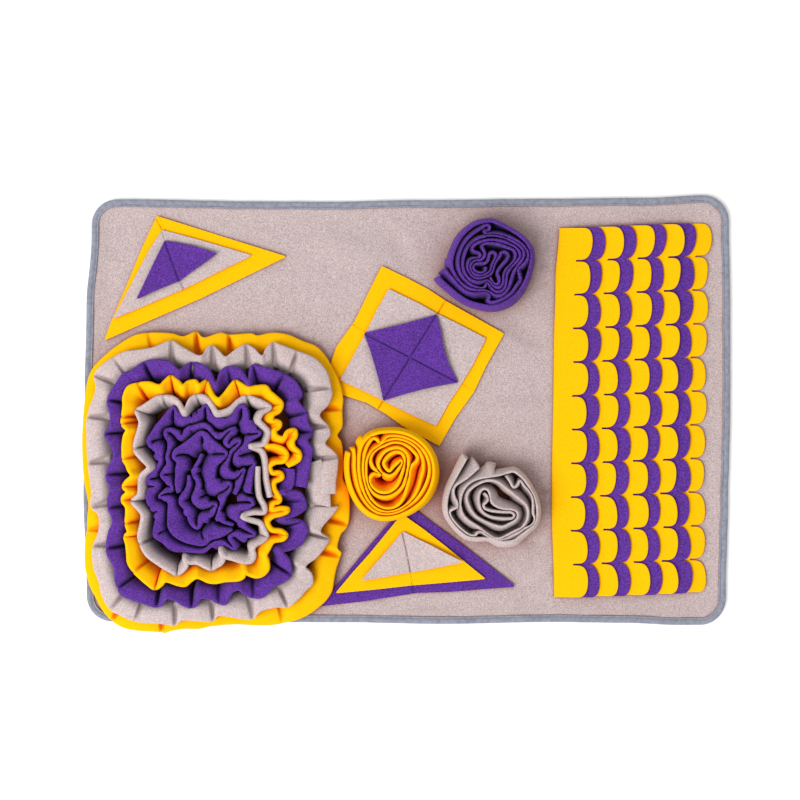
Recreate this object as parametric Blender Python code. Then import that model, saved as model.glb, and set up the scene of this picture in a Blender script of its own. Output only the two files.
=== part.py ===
"""Snuffle mat: a bound cloth mat that hides food for a pet to search out.

It carries a block of gathered ruffles, three rolled rosettes, a square and two triangles of
stacked cloth, and a panel of overlapping scalloped strips.
Metres, +Z up. The origin is on the mat's underside, at the middle of its length and width.
"""

from collections import namedtuple
from math import cos, hypot, pi, radians, sin

import bmesh
import bpy
from mathutils import Vector

# Driving dimensions.
MAT_LENGTH = 0.700
MAT_WIDTH = 0.460
MAT_CORNER = 0.028
MAT_THICK = 0.003
GAP = 0.0003
BINDING_THICK = 0.001
BINDING_WIDTH = 0.008
BINDING_CLEAR = 0.001
FLEECE_THICK = 0.002
RUFFLE_THICK = 0.004
ROLL_THICK = 0.0055

LAY_Z = MAT_THICK + GAP
LAYER_STEP = FLEECE_THICK + GAP

COLOURS = {
    "taupe": (0.60, 0.485, 0.477),
    "yellow": (0.95, 0.60, 0.006),
    "purple": (0.12, 0.040, 0.29),
    "binding": (0.32, 0.33, 0.385),
}


def clear_scene():
    """Removes whatever the file opened with."""
    for old in list(bpy.data.objects):
        bpy.data.objects.remove(old, do_unlink=True)


def cloth(name, colour):
    """A matte cloth finish of one colour."""
    material = bpy.data.materials.new(name)
    material.use_nodes = True
    surface = material.node_tree.nodes["Principled BSDF"]
    surface.inputs["Base Color"].default_value = (*COLOURS[colour], 1.0)
    surface.inputs["Roughness"].default_value = 0.95
    surface.inputs["Metallic"].default_value = 0.0
    return material


def solid(name, points, faces, colour):
    """One closed piece from its points and its faces, all turned outward."""
    bm = bmesh.new()
    corners = [bm.verts.new(point) for point in points]
    for face in faces:
        bm.faces.new([corners[index] for index in face])
    bmesh.ops.recalc_face_normals(bm, faces=bm.faces)
    if bm.calc_volume(signed=True) < 0:
        bmesh.ops.reverse_faces(bm, faces=bm.faces)
    mesh = bpy.data.meshes.new(name)
    bm.to_mesh(mesh)
    bm.free()
    mesh.shade_smooth()
    mesh.set_sharp_from_angle(angle=radians(50))
    mesh.materials.append(cloth(name + "_cloth", colour))
    piece = bpy.data.objects.new(name, mesh)
    bpy.context.scene.collection.objects.link(piece)
    return piece


def swept(name, sections, colour, closed):
    """Joins a row of like sections into one solid. An open row gets a face at each end."""
    size = len(sections[0])
    points = [point for section in sections for point in section]
    faces = []
    for index in range(len(sections) if closed else len(sections) - 1):
        here = index * size
        there = (index + 1) % len(sections) * size
        for corner in range(size):
            after = (corner + 1) % size
            faces.append((here + corner, here + after, there + after, there + corner))
    if not closed:
        faces.append(tuple(range(size)))
        faces.append(tuple(range(len(points) - size, len(points))))
    return solid(name, points, faces, colour)


def eased(rows, at):
    """Reads a table of (station, value) rows at a station, easing from row to row."""
    if at <= rows[0][0]:
        return rows[0][1]
    for (start, low), (end, high) in zip(rows, rows[1:]):
        if at <= end:
            share = (at - start) / (end - start)
            return low + (high - low) * share * share * (3 - 2 * share)
    return rows[-1][1]


# The mat's outline is a rounded rectangle whose edges wander. Columns: the station along the
# edge, and the edge's own coordinate there.
WEST_EDGE = ((-0.180, -0.3475), (-0.100, -0.3510), (0.020, -0.3498), (0.110, -0.3479), (0.190, -0.3423))
EAST_EDGE = ((-0.190, 0.3457), (-0.100, 0.3482), (0.000, 0.3505), (0.110, 0.3505), (0.190, 0.3492))
NORTH_EDGE = ((-0.300, 0.2284), (-0.180, 0.2262), (-0.090, 0.2257), (0.000, 0.2274), (0.150, 0.2289),
              (0.260, 0.2300), (0.320, 0.2327))
SOUTH_EDGE = ((-0.300, -0.2295), (-0.060, -0.2305), (0.036, -0.2322), (0.165, -0.2301),
              (0.240, -0.2311), (0.300, -0.2333))

RIM_INSET = 0.018
RIM_CORNER = MAT_CORNER - RIM_INSET
GRID_X = (-0.300, -0.220, -0.140, -0.060, 0.000, 0.040, 0.056, 0.070, 0.084, 0.098, 0.112, 0.126,
          0.140, 0.160, 0.210, 0.265, 0.300)
GRID_Y = (-0.194, -0.184, -0.173, -0.160, -0.140, -0.110, -0.050, 0.030, 0.100, 0.150, 0.180)

# Soft folds in the bare cloth: the middle, the length, width and heading of each, and its height.
Fold = namedtuple("Fold", "x y length width heading height")
FOLDS = (
    Fold(0.110, -0.2090, 0.050, 0.024, 32, 0.0016),
    Fold(0.144, -0.176, 0.050, 0.028, 60, 0.0012),
    Fold(0.126, -0.152, 0.042, 0.028, 150, 0.0010),
)


def rounded(x, y, half_x, half_y, radius):
    """Moves a point of a rectangle so that the rectangle's corners become round."""
    across = abs(x) - (half_x - radius)
    along = abs(y) - (half_y - radius)
    if across <= 0 or along <= 0:
        return x, y
    p = across / radius
    q = along / radius
    new_x = half_x - radius + radius * p * (1 - q * q / 2) ** 0.5
    new_y = half_y - radius + radius * q * (1 - p * p / 2) ** 0.5
    return (new_x if x > 0 else -new_x), (new_y if y > 0 else -new_y)


def wander(x, y):
    """Shifts a point of the even rectangle with the edges that wander."""
    west, east = eased(WEST_EDGE, y), eased(EAST_EDGE, y)
    south, north = eased(SOUTH_EDGE, x), eased(NORTH_EDGE, x)
    new_x = west + (east - west) * (x / MAT_LENGTH + 0.5)
    new_y = south + (north - south) * (y / MAT_WIDTH + 0.5)
    return Vector((new_x, new_y, 0))


def cuts(half, inner):
    """Grid lines from one side to the other, with two more in each rounded corner."""
    corner = [half - RIM_CORNER * share for share in (0, 0.35, 0.7, 1)]
    return [-line for line in corner] + list(inner) + corner[::-1]


def fold_height(point):
    """How far the soft folds lift the mat's top at a point."""
    lift = 0
    for fold in FOLDS:
        turn = radians(fold.heading)
        dx, dy = point.x - fold.x, point.y - fold.y
        along = (dx * cos(turn) + dy * sin(turn)) / (fold.length / 2)
        across = (dy * cos(turn) - dx * sin(turn)) / (fold.width / 2)
        lift += fold.height * max(0, 1 - along * along - across * across) ** 1.5
    return lift


def mat_grid():
    """The mat's inner grid of points, and the order of its border, anticlockwise."""
    half_x, half_y = MAT_LENGTH / 2 - RIM_INSET, MAT_WIDTH / 2 - RIM_INSET
    lines_x, lines_y = cuts(half_x, GRID_X), cuts(half_y, GRID_Y)
    grid = [[wander(*rounded(x, y, half_x, half_y, RIM_CORNER)) for x in lines_x] for y in lines_y]
    last_x, last_y = len(lines_x) - 1, len(lines_y) - 1
    border = [(0, column) for column in range(last_x)]
    border += [(row, last_x) for row in range(last_y)]
    border += [(last_y, column) for column in range(last_x, 0, -1)]
    border += [(row, 0) for row in range(last_y, 0, -1)]
    return grid, border


def outward(loop):
    """The outward direction at each point of a flat anticlockwise loop."""
    directions = []
    for index, point in enumerate(loop):
        before, after = loop[index - 1], loop[(index + 1) % len(loop)]
        one, two = (point - before).normalized(), (after - point).normalized()
        normal = Vector((one.y + two.y, -one.x - two.x, 0)).normalized()
        spread = normal.dot(Vector((one.y, -one.x, 0)))
        directions.append(normal / spread)
    return directions


def rim_loops():
    """The mat's border stations, each with its outward direction."""
    grid, border = mat_grid()
    loop = [grid[row][column] for row, column in border]
    return loop, outward(loop)


def make_mat():
    """The mat itself: flat underneath, and lifted at its rim by the binding that wraps it."""
    grid, border = mat_grid()
    loop, directions = rim_loops()
    columns = len(grid[0])
    lift = BINDING_THICK + GAP
    edge = RIM_INSET - lift
    under_binding = RIM_INSET - BINDING_WIDTH - BINDING_CLEAR
    points = []
    for row in grid:
        points += [point + Vector((0, 0, MAT_THICK + fold_height(point))) for point in row]
    faces = []
    for row in range(len(grid) - 1):
        for column in range(columns - 1):
            first = row * columns + column
            faces.append((first, first + 1, first + columns + 1, first + columns))
    inner_top = [row * columns + column for row, column in border]
    rings = [inner_top]
    for reach, height in ((under_binding, MAT_THICK + lift), (edge, MAT_THICK + lift),
                          (edge, lift), (under_binding, lift), (0, 0)):
        rings.append(list(range(len(points), len(points) + len(loop))))
        points += [p + d * reach + Vector((0, 0, height)) for p, d in zip(loop, directions)]
    for upper, lower in zip(rings, rings[1:]):
        for index in range(len(loop)):
            after = (index + 1) % len(loop)
            faces.append((upper[index], lower[index], lower[after], upper[after]))
    faces.append(tuple(rings[-1]))
    return solid("mat_base", points, faces, "taupe")


def make_binding():
    """The binding tape, folded round the mat's edge from its top to its underside."""
    loop, directions = rim_loops()
    tape, wide = BINDING_THICK, BINDING_WIDTH
    top = MAT_THICK + 2 * (tape + GAP)
    profile = ((0, 0), (wide, 0), (wide, tape), (tape, tape), (tape, top - tape),
               (wide, top - tape), (wide, top), (0, top))
    sections = []
    for point, direction in zip(loop, directions):
        sections.append([point + direction * (RIM_INSET - inward) + Vector((0, 0, height))
                         for inward, height in profile])
    return swept("edge_binding", sections, "binding", closed=True)


# The ruffle block: strips gathered along rounded squares, one inside the other. Each row gives
# how far the sewn line lies west, east, south and north of the block's middle, its corner
# radius, how far out and how high the strip's middle and free edge stand, the number of waves,
# the waves' depth and lift at the free edge, and the phase of their unevenness.
BLOCK_X = -0.2127
BLOCK_Y = -0.0803
Ruffle = namedtuple(
    "Ruffle",
    "name colour west east south north corner mid_out mid_z edge_out edge_z waves depth lift phase",
)
RUFFLES = (
    Ruffle("ruffle_1_yellow", "yellow", 0.108, 0.117, 0.128, 0.138, 0.024,
           0.009, 0.020, 0.024, 0.014, 26, 0.0035, 0.0015, 0.0),
    Ruffle("ruffle_2_taupe", "taupe", 0.097, 0.102, 0.117, 0.120, 0.022,
           0.009, 0.032, 0.024, 0.028, 26, 0.0045, 0.0015, 0.0),
    Ruffle("ruffle_3_purple", "purple", 0.086, 0.088, 0.104, 0.106, 0.016,
           0.006, 0.030, 0.017, 0.038, 26, 0.0045, 0.0015, 0.0),
    Ruffle("ruffle_4_yellow", "yellow", 0.074, 0.067, 0.087, 0.094, 0.012,
           0, 0, 0.012, 0.042, 22, 0.0050, 0.0010, 1.1),
    Ruffle("ruffle_5_taupe", "taupe", 0.064, 0.054, 0.076, 0.083, 0.012,
           0, 0, 0.009, 0.044, 22, 0.0042, 0.0010, 1.1),
    Ruffle("ruffle_6_purple", "purple", 0.053, 0.043, 0.064, 0.073, 0.013,
           0, 0, 0.005, 0.045, 16, 0.0038, 0.0010, 2.3),
    Ruffle("ruffle_7_purple", "purple", 0.040, 0.032, 0.052, 0.060, 0.012,
           0, 0, 0.003, 0.046, 16, 0.0035, 0.0010, 2.3),
    Ruffle("ruffle_8_purple", "purple", 0.027, 0.021, 0.041, 0.047, 0.011,
           0, 0, 0.001, 0.045, 12, 0.0032, 0.0010, 3.4),
    Ruffle("ruffle_9_purple", "purple", 0.014, 0.009, 0.027, 0.033, 0.009,
           0, 0, 0.000, 0.044, 8, 0.0028, 0.0010, 4.2),
)
STATIONS_A_WAVE = 4
SEAM_WAVE = 0.15
MID_WAVE = 0.6
UNEVEN_DEPTH = 0.18
UNEVEN_SPACING = 0.25
ENDS_APART = 0.003


def around(ruffle, radius, share):
    """Walks anticlockwise round a rounded square, from the middle of its east side.

    Gives the nearest point of the square inside its corner arcs, and the outward direction.
    """
    west, east = ruffle.corner - ruffle.west, ruffle.east - ruffle.corner
    south, north = ruffle.corner - ruffle.south, ruffle.north - ruffle.corner
    arc = radius * pi / 2
    left = share * (2 * (east - west + north - south) + 4 * arc)
    sides = (
        (east, 0, 90, north),
        (east, north, 180, east - west),
        (west, north, 270, north - south),
        (west, south, 360, east - west),
        (east, south, 450, -south),
    )
    for x, y, heading, straight in sides:
        turn = radians(heading)
        run = min(left, straight)
        point = Vector((x + run * cos(turn), y + run * sin(turn), 0))
        left -= run
        if left <= arc:
            turn += left / radius
            break
        left -= arc
    return point, Vector((sin(turn), -cos(turn), 0))


def wall_profile(ruffle):
    """The wall's two sides at each level: how far out, how high, and the waves' share there."""
    levels = [(0, LAY_Z, SEAM_WAVE), (ruffle.edge_out, ruffle.edge_z, 1)]
    if ruffle.mid_z:
        levels.insert(1, (ruffle.mid_out, ruffle.mid_z, MID_WAVE))
    sides = []
    for index, (out, height, share) in enumerate(levels):
        before, after = levels[max(index - 1, 0)], levels[min(index + 1, len(levels) - 1)]
        run, rise = after[0] - before[0], after[1] - before[1]
        half = RUFFLE_THICK / 2 / hypot(run, rise)
        across, down = (rise * half, -run * half) if index else (RUFFLE_THICK / 2, 0)
        sides.append(((out + across, height + down, share), (out - across, height - down, share)))
    return [side[0] for side in sides] + [side[1] for side in sides[::-1]]


def make_ruffle(ruffle):
    """One gathered strip, sewn down along its lower edge, its two ends meeting on the east."""
    profile = wall_profile(ruffle)
    radius = ruffle.corner + ruffle.edge_out / 2
    stations = ruffle.waves * STATIONS_A_WAVE
    opening = ENDS_APART / (2 * (ruffle.west + ruffle.east + ruffle.south + ruffle.north))
    sections = []
    for index in range(stations + 1):
        uneven = 1 - UNEVEN_DEPTH + UNEVEN_DEPTH * sin(2.4 * index + ruffle.phase)
        swing = cos(index * 2 * pi / STATIONS_A_WAVE) * uneven
        inside = 0 < index < stations
        slide = UNEVEN_SPACING * sin(1.9 * index + ruffle.phase) if inside else 0
        share = opening / 2 + (1 - opening) * (index + slide) / stations
        corner, direction = around(ruffle, radius, share)
        section = []
        for out, height, wave in profile:
            reach = ruffle.corner + out + swing * wave * ruffle.depth
            lifted = height + swing * (wave if wave > SEAM_WAVE else 0) * ruffle.lift
            point = corner + direction * reach
            section.append(point + Vector((BLOCK_X, BLOCK_Y, lifted)))
        sections.append(section)
    return swept(ruffle.name, sections, ruffle.colour, closed=False)


# The rosettes: strips rolled up and sewn down at their foot. Each row gives the middle, the
# outer radius at the belly, the height, where the outer end stands (degrees), how far that end
# comes away, and the phase and depth of the folds in the turns.
Rosette = namedtuple("Rosette", "name colour x y radius height end_angle loose phase fold")
ROSETTES = (
    Rosette("rosette_purple", "purple", 0.0891, 0.1555, 0.0485, 0.038, 190, 0.007, 0.4, 0.027),
    Rosette("rosette_yellow", "yellow", -0.0170, -0.0672, 0.0460, 0.038, 150, 0.002, 2.0, 0.020),
    Rosette("rosette_taupe", "taupe", 0.0902, -0.1008, 0.0490, 0.036, 118, 0.006, 3.1, 0.030),
)
ROLL_PITCH = 0.0098
ROLL_CORE = 0.0095
ROLL_STATIONS = 16
LOOSE_STATIONS = 3
CREST_WAVE = 0.05
CORE_DIP = 0.06
# Columns: the share of the height, and the share of the radius that a turn has there.
ROLL_PROFILE = ((0.0, 0.76), (0.42, 1.0), (1.0, 0.91))


def make_rosette(rosette):
    """One strip rolled clockwise from its core, narrow at the foot and full at the belly."""
    outermost = rosette.radius - ROLL_THICK / 2
    count = int((outermost - ROLL_CORE) / ROLL_PITCH * ROLL_STATIONS)
    sections = []
    for index in range(count + 1):
        angle = radians(rosette.end_angle) + (count - index) * 2 * pi / ROLL_STATIONS
        folds = sin(3 * angle + rosette.phase) + 0.7 * sin(5 * angle + 2 * rosette.phase)
        middle = outermost - (count - index) * ROLL_PITCH / ROLL_STATIONS
        middle *= 1 + rosette.fold * folds
        near_end = max(0, index - count + LOOSE_STATIONS) / LOOSE_STATIONS
        crest = 1 + CREST_WAVE * sin(2 * angle + rosette.phase)
        crest -= CORE_DIP * (1 - middle / outermost)
        direction = Vector((cos(angle), sin(angle), 0))
        outer, inner = [], []
        for level, girth in ROLL_PROFILE:
            height = LAY_Z + level * (rosette.height * crest - LAY_Z)
            reach = middle * girth + rosette.loose * near_end ** 2 * level
            base = Vector((rosette.x, rosette.y, height))
            outer.append(base + direction * (reach + ROLL_THICK / 2))
            inner.append(base + direction * (reach - ROLL_THICK / 2))
        sections.append(outer + inner[::-1])
    return swept(rosette.name, sections, rosette.colour, closed=False)


# The stacked shapes: each layer is a flat piece of fleece on the one below. Each row of an
# outline is a corner or a side's point, and how far the free edge lifts there.
Layer = namedtuple("Layer", "name colour level middle outline")
LAYERS = (
    Layer("square_1_yellow", "yellow", 0, (0.005, 0.056), (
        (-0.0271, 0.1552, 0), (0.0370, 0.1215, 0), (0.1042, 0.0825, 0), (0.0720, 0.0200, 0),
        (0.0347, -0.0380, 0), (-0.0220, -0.0040, 0), (-0.0865, 0.0370, 0), (-0.0560, 0.0960, 0))),
    Layer("square_2_taupe", "taupe", 1, (0.005, 0.056), (
        (-0.0195, 0.1302, 0), (0.0315, 0.1040, 0), (0.0846, 0.0770, 0), (0.0585, 0.0290, 0),
        (0.0315, -0.0163, 0), (-0.0200, 0.0080, 0), (-0.0716, 0.0326, 0), (-0.0450, 0.0810, 0))),
    Layer("square_3_purple", "purple", 2, (0.0054, 0.0553), (
        (0.0315, 0.1020, 0), (0.0380, 0.0700, 0.0022), (0.0543, 0.0304, 0),
        (0.0145, 0.0225, 0.0026), (-0.0250, 0.0109, 0), (-0.0340, 0.0480, 0.0020),
        (-0.0456, 0.0825, 0), (-0.0060, 0.0915, 0.0024))),
    Layer("triangle_1_yellow", "yellow", 0, (-0.240, 0.150), (
        (-0.2707, 0.2094, 0), (-0.2090, 0.1900, 0), (-0.1324, 0.1660, 0), (-0.2240, 0.1215, 0),
        (-0.3271, 0.0765, 0), (-0.3010, 0.1400, 0))),
    Layer("triangle_2_taupe", "taupe", 1, (-0.247, 0.152), (
        (-0.2647, 0.1942, 0), (-0.2200, 0.1820, 0), (-0.1693, 0.1671, 0), (-0.2390, 0.1330, 0),
        (-0.3168, 0.0998, 0), (-0.2920, 0.1470, 0))),
    Layer("triangle_3_purple", "purple", 2, (-0.2545, 0.158), (
        (-0.2615, 0.1823, 0), (-0.2330, 0.1770, 0.0012), (-0.2062, 0.1687, 0.0022),
        (-0.2463, 0.1400, 0), (-0.2908, 0.1204, 0.0022), (-0.2760, 0.1520, 0.0012))),
    Layer("wedge_1_purple", "purple", 0, (0.006, -0.168), (
        (0.0010, -0.1030, 0), (0.0600, -0.1470, 0), (0.1161, -0.1910, 0), (0.0467, -0.1964, 0),
        (-0.0080, -0.2005, 0), (-0.0940, -0.2120, 0), (-0.0480, -0.1570, 0))),
    Layer("wedge_2_yellow", "yellow", 1, (0.002, -0.166), (
        (-0.0054, -0.1135, 0), (0.0400, -0.1470, 0), (0.0835, -0.1823, 0), (0.0020, -0.1895, 0),
        (-0.0760, -0.1975, 0), (-0.0400, -0.1560, 0))),
    Layer("wedge_3_taupe", "taupe", 2, (0.001, -0.160), (
        (-0.0043, -0.1320, 0), (0.0270, -0.1475, 0.0012), (0.0586, -0.1638, 0.0022),
        (0.0043, -0.1747, 0), (-0.0477, -0.1834, 0.0020), (-0.0260, -0.1580, 0.0012))),
)
SIDE_STEPS = 2
MIDDLE_STEPS = 2


def make_layer(layer):
    """One cut piece of fleece, sewn along its creases, its free edges lifting between them."""
    lifts = any(row[2] for row in layer.outline)
    side_steps, rings = (SIDE_STEPS, MIDDLE_STEPS) if lifts else (1, 1)
    rim = []
    for (x, y, lift), (next_x, next_y, next_lift) in zip(layer.outline,
                                                         layer.outline[1:] + layer.outline[:1]):
        for step in range(side_steps):
            share = step / side_steps
            rim.append(Vector((x + (next_x - x) * share, y + (next_y - y) * share,
                               lift + (next_lift - lift) * share)))
    under = LAY_Z + layer.level * LAYER_STEP
    middle = Vector((*layer.middle, 0))
    points, faces = [], []
    for height in (under + FLEECE_THICK, under):
        points.append(middle + Vector((0, 0, height)))
        for ring in range(1, rings + 1):
            points += [middle.lerp(point, ring / rings) + Vector((0, 0, height)) for point in rim]
    half = len(points) // 2
    size = len(rim)
    for base in (0, half):
        for index in range(size):
            after = (index + 1) % size
            faces.append((base, base + 1 + index, base + 1 + after))
            for ring in range(rings - 1):
                near, far = base + 1 + ring * size, base + 1 + (ring + 1) * size
                faces.append((near + index, far + index, far + after, near + after))
    outer = 1 + (rings - 1) * size
    for index in range(size):
        after = (index + 1) % size
        faces.append((outer + index, half + outer + index, half + outer + after, outer + after))
    return solid(layer.name, points, faces, layer.colour)


# The scalloped panel: strips laid like shingles, each over the one to its east.
STRIPS = 9
STRIP_WEST = 0.1600
STRIP_PITCH = 0.0161
SCALLOPS = 11
SCALLOP_PITCH = 0.0365
PANEL_NORTH = 0.1964
PANEL_SKEW = 0.04
LOBE_DEPTH = 0.0150
LOBE_STEPS = 6
LOBE_SQUARENESS = 0.75
# How far the west edges may wander west of their own line before they would meet the mat.
SLACK = 0.004
SLOPE = LAYER_STEP / STRIP_PITCH
# Columns: the strip's tips east of its sewn line, and the phase of their unevenness.
STRIP_TIPS = ((0.0364, 0.0), (0.0333, 1.3), (0.0373, 2.1), (0.0347, 0.7), (0.0390, 3.3),
              (0.0356, 4.0), (0.0380, 1.8), (0.0365, 5.1), (0.0367, 2.6))
# The panel's west edge wanders. Columns: y, and the shift east.
PANEL_DRIFT = ((-0.205, -0.0005), (-0.100, -0.0030), (0.060, -0.0008), (0.140, 0.0010), (0.197, 0.0050))


def strip_under(strip, x):
    """The height of a strip's underside: it climbs over the strips below it."""
    if strip == STRIPS - 1:
        return LAY_Z
    west = STRIP_WEST + strip * STRIP_PITCH - SLACK
    rise = (x - west) * SLOPE
    return LAY_Z + (min(rise, LAYER_STEP) if strip == STRIPS - 2 else rise)


def strip_row(row, x):
    """The y of a boundary between scallops, which slants a little across the panel."""
    return PANEL_NORTH - row * SCALLOP_PITCH + PANEL_SKEW * (x - STRIP_WEST)


def make_strip(strip):
    """One strip, straight along its sewn edge and scalloped along its free edge."""
    west = STRIP_WEST + strip * STRIP_PITCH
    reach, phase = STRIP_TIPS[strip]
    north, south = strip_row(0, west), strip_row(SCALLOPS, west)
    fold = west + STRIP_PITCH - SLACK
    outline = [(west + eased(PANEL_DRIFT, y), y) for y in (north, (north + south) / 2, south)]
    if strip == STRIPS - 2:
        outline.append((fold, strip_row(SCALLOPS, fold)))
    for row in range(SCALLOPS - 1, -1, -1):
        for step in range(LOBE_STEPS + (1 if row == 0 else 0)):
            turn = pi * (step / LOBE_STEPS - 0.5)
            middle_y = strip_row(row + 0.5, west + reach)
            y = middle_y + SCALLOP_PITCH / 2 * sin(turn)
            tip = west + reach + eased(PANEL_DRIFT, y) + 0.0008 * sin(2.2 * row + phase)
            x = tip - LOBE_DEPTH * (1 - abs(cos(turn)) ** LOBE_SQUARENESS)
            outline.append((x, y))
    if strip == STRIPS - 2:
        outline.append((fold, strip_row(0, fold)))
    size = len(outline)
    points = [Vector((x, y, strip_under(strip, x) + FLEECE_THICK)) for x, y in outline]
    points += [Vector((x, y, strip_under(strip, x))) for x, y in outline]
    faces = []
    for base in (0, size):
        ring = [base + index for index in range(size)]
        if strip == STRIPS - 2:
            faces.append(tuple(ring[:4] + ring[-1:]))
            faces.append(tuple(ring[3:]))
        else:
            faces.append(tuple(ring))
    for index in range(size):
        after = (index + 1) % size
        faces.append((index, size + index, size + after, after))
    name = "scallop_strip_{}_{}".format(strip + 1, "purple" if strip % 2 else "yellow")
    return solid(name, points, faces, "purple" if strip % 2 else "yellow")


clear_scene()
make_mat()
make_binding()
for ruffle in RUFFLES:
    make_ruffle(ruffle)
for rosette in ROSETTES:
    make_rosette(rosette)
for layer in LAYERS:
    make_layer(layer)
for strip in range(STRIPS):
    make_strip(strip)
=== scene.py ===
from math import cos, hypot, pi, radians, sin

import bpy
import numpy as np
from mathutils.kdtree import KDTree
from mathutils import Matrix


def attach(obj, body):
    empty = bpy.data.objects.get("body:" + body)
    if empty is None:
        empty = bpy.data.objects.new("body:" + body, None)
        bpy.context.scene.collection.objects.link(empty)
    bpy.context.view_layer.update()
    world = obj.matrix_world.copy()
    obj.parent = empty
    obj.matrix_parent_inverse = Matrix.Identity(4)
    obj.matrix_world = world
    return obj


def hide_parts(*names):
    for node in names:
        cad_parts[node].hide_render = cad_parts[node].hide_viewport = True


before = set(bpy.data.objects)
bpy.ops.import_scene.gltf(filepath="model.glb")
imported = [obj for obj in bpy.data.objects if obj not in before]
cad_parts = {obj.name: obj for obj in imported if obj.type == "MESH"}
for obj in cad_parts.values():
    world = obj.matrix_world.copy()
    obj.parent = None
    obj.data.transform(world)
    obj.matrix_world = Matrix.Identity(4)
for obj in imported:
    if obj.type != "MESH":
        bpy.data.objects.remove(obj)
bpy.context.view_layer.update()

# The camera stands straight above the mat, with its axis a little off the mat's middle. The photo
# is 800 pixels across and shows 0.868 m of the mat's top.
CAMERA_X, CAMERA_Y = -0.0076, 0.0108
CAMERA_HEIGHT = 1.504
SEEN_WIDTH = 0.868
SEEN_LEVEL = 0.004
SENSOR_MM = 36.0

camera = bpy.data.objects.new("camera", bpy.data.cameras.new("camera"))
camera.location = (CAMERA_X, CAMERA_Y, CAMERA_HEIGHT)
camera.data.sensor_width = SENSOR_MM
camera.data.lens = SENSOR_MM * (CAMERA_HEIGHT - SEEN_LEVEL) / SEEN_WIDTH
bpy.context.scene.collection.objects.link(camera)
bpy.context.scene.camera = camera

# The studio: a white sweep, an even white surround, and one large soft lamp high on the left, a
# little to the front, which leaves thin shadows on the right of every raised edge.
FLOOR_SIZE = 6.0
FLOOR_DROP = 0.0002
FLOOR_COLOUR = (0.99, 0.99, 0.99, 1)
SURROUND = 0.66
KEY_PLACE = (-2.20, -1.55, 3.35)
KEY_SIZE = 2.8
KEY_POWER = 170.0


def lamp(name, place, size, power):
    """A square soft lamp that faces the middle of the mat."""
    light = bpy.data.lights.new(name, "AREA")
    light.size = size
    light.energy = power
    holder = bpy.data.objects.new(name, light)
    holder.location = place
    holder.rotation_euler = (-holder.location).to_track_quat("-Z", "Y").to_euler()
    bpy.context.scene.collection.objects.link(holder)


lamp("key_lamp", KEY_PLACE, KEY_SIZE, KEY_POWER)

world = bpy.data.worlds.new("white_surround")
world.use_nodes = True
backdrop = world.node_tree.nodes["Background"]
backdrop.inputs["Color"].default_value = (1.0, 1.0, 1.0, 1.0)
backdrop.inputs["Strength"].default_value = SURROUND
bpy.context.scene.world = world
bpy.context.scene.view_settings.view_transform = "Standard"
bpy.context.scene.view_settings.look = "None"

floor_mesh = bpy.data.meshes.new("floor")
floor_corners = [(side_x * FLOOR_SIZE / 2, side_y * FLOOR_SIZE / 2, -FLOOR_DROP)
                 for side_x, side_y in ((-1, -1), (1, -1), (1, 1), (-1, 1))]
floor_mesh.from_pydata(floor_corners, [], [(0, 1, 2, 3)])
floor = bpy.data.objects.new("floor", floor_mesh)
floor_paint = bpy.data.materials.new("floor_paint")
floor_paint.use_nodes = True
floor_surface = floor_paint.node_tree.nodes["Principled BSDF"]
floor_surface.inputs["Base Color"].default_value = FLOOR_COLOUR
floor_surface.inputs["Roughness"].default_value = 0.9
floor_mesh.materials.append(floor_paint)
bpy.context.scene.collection.objects.link(floor)


# The mat: one rectangle of mauve-taupe brushed cloth with its backing, 3 mm thick, whose edges
# run a little out of true. It is slack between the things sewn to it, and lies in soft folds.
MM = 0.001
MAT_LENGTH = 0.700
MAT_WIDTH = 0.460
MAT_CORNER = 0.028
MAT_TOP = 0.003
MAT_STEP = 0.0045
RIM_LIFT = 0.0013
RIM_WIDTH = 0.009
RIM_RAMP = 0.008
MAT_COLOUR = (0.497, 0.403, 0.398)
# The mat's painted shade: a warm brown standing in for the shade beside raised pieces and the light the
# yellow fleece throws there.
MAT_PAINTED_SHADE = (0.24, 0.055, 0.022)
# Painted shade in cloth hollows: how many rays sample how open a spot is, and the openness at which the
# painted shade is full.
PAINTED_SHADE_SAMPLES = 6
PAINTED_SHADE_FULL = 0.10
# A cloth's specks and its larger clouds: how large the clouds are in fibres, how strong they are
# beside the specks, and between which levels of the noise each goes from dark to light.
CLOUD_SIZE = 14
CLOUD_SHARE = 1 / 7
SPECK_ENDS = (0.32, 0.68)
CLOUD_ENDS = (0.3, 0.7)
MAT_SWELL = 0.00028
MAT_SWELL_SIZE = 0.055
# A soft fold is a long hump. Its ends reach a little past its length, and its foot is eased.
SLACK_ENDS = 0.9
SLACK_SOFT = 1.5
# Even noise is a sum of waves. Each wave's pitch is a share of the size of the noise's lumps, and
# each heads a golden turn, in radians, past the one before it.
GRAIN_PITCHES = (0.8, 0.97, 1.14, 1.31, 1.48)
GRAIN_PHASE = 1.7
GOLDEN_TURN = 2.399

# The edges wander. Columns: the station along the edge, and the edge's own coordinate there.
WEST_EDGE = ((-0.180, -0.3475), (-0.100, -0.3510), (0.020, -0.3498), (0.110, -0.3479), (0.190, -0.3423))
EAST_EDGE = ((-0.190, 0.3457), (-0.100, 0.3482), (0.000, 0.3505), (0.110, 0.3505), (0.190, 0.3492))
NORTH_EDGE = ((-0.300, 0.2284), (-0.180, 0.2262), (-0.090, 0.2257), (0.000, 0.2274), (0.150, 0.2289),
              (0.260, 0.2300), (0.320, 0.2327))
SOUTH_EDGE = ((-0.300, -0.2295), (-0.060, -0.2305), (0.036, -0.2322), (0.165, -0.2301),
              (0.240, -0.2311), (0.300, -0.2333))

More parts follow.
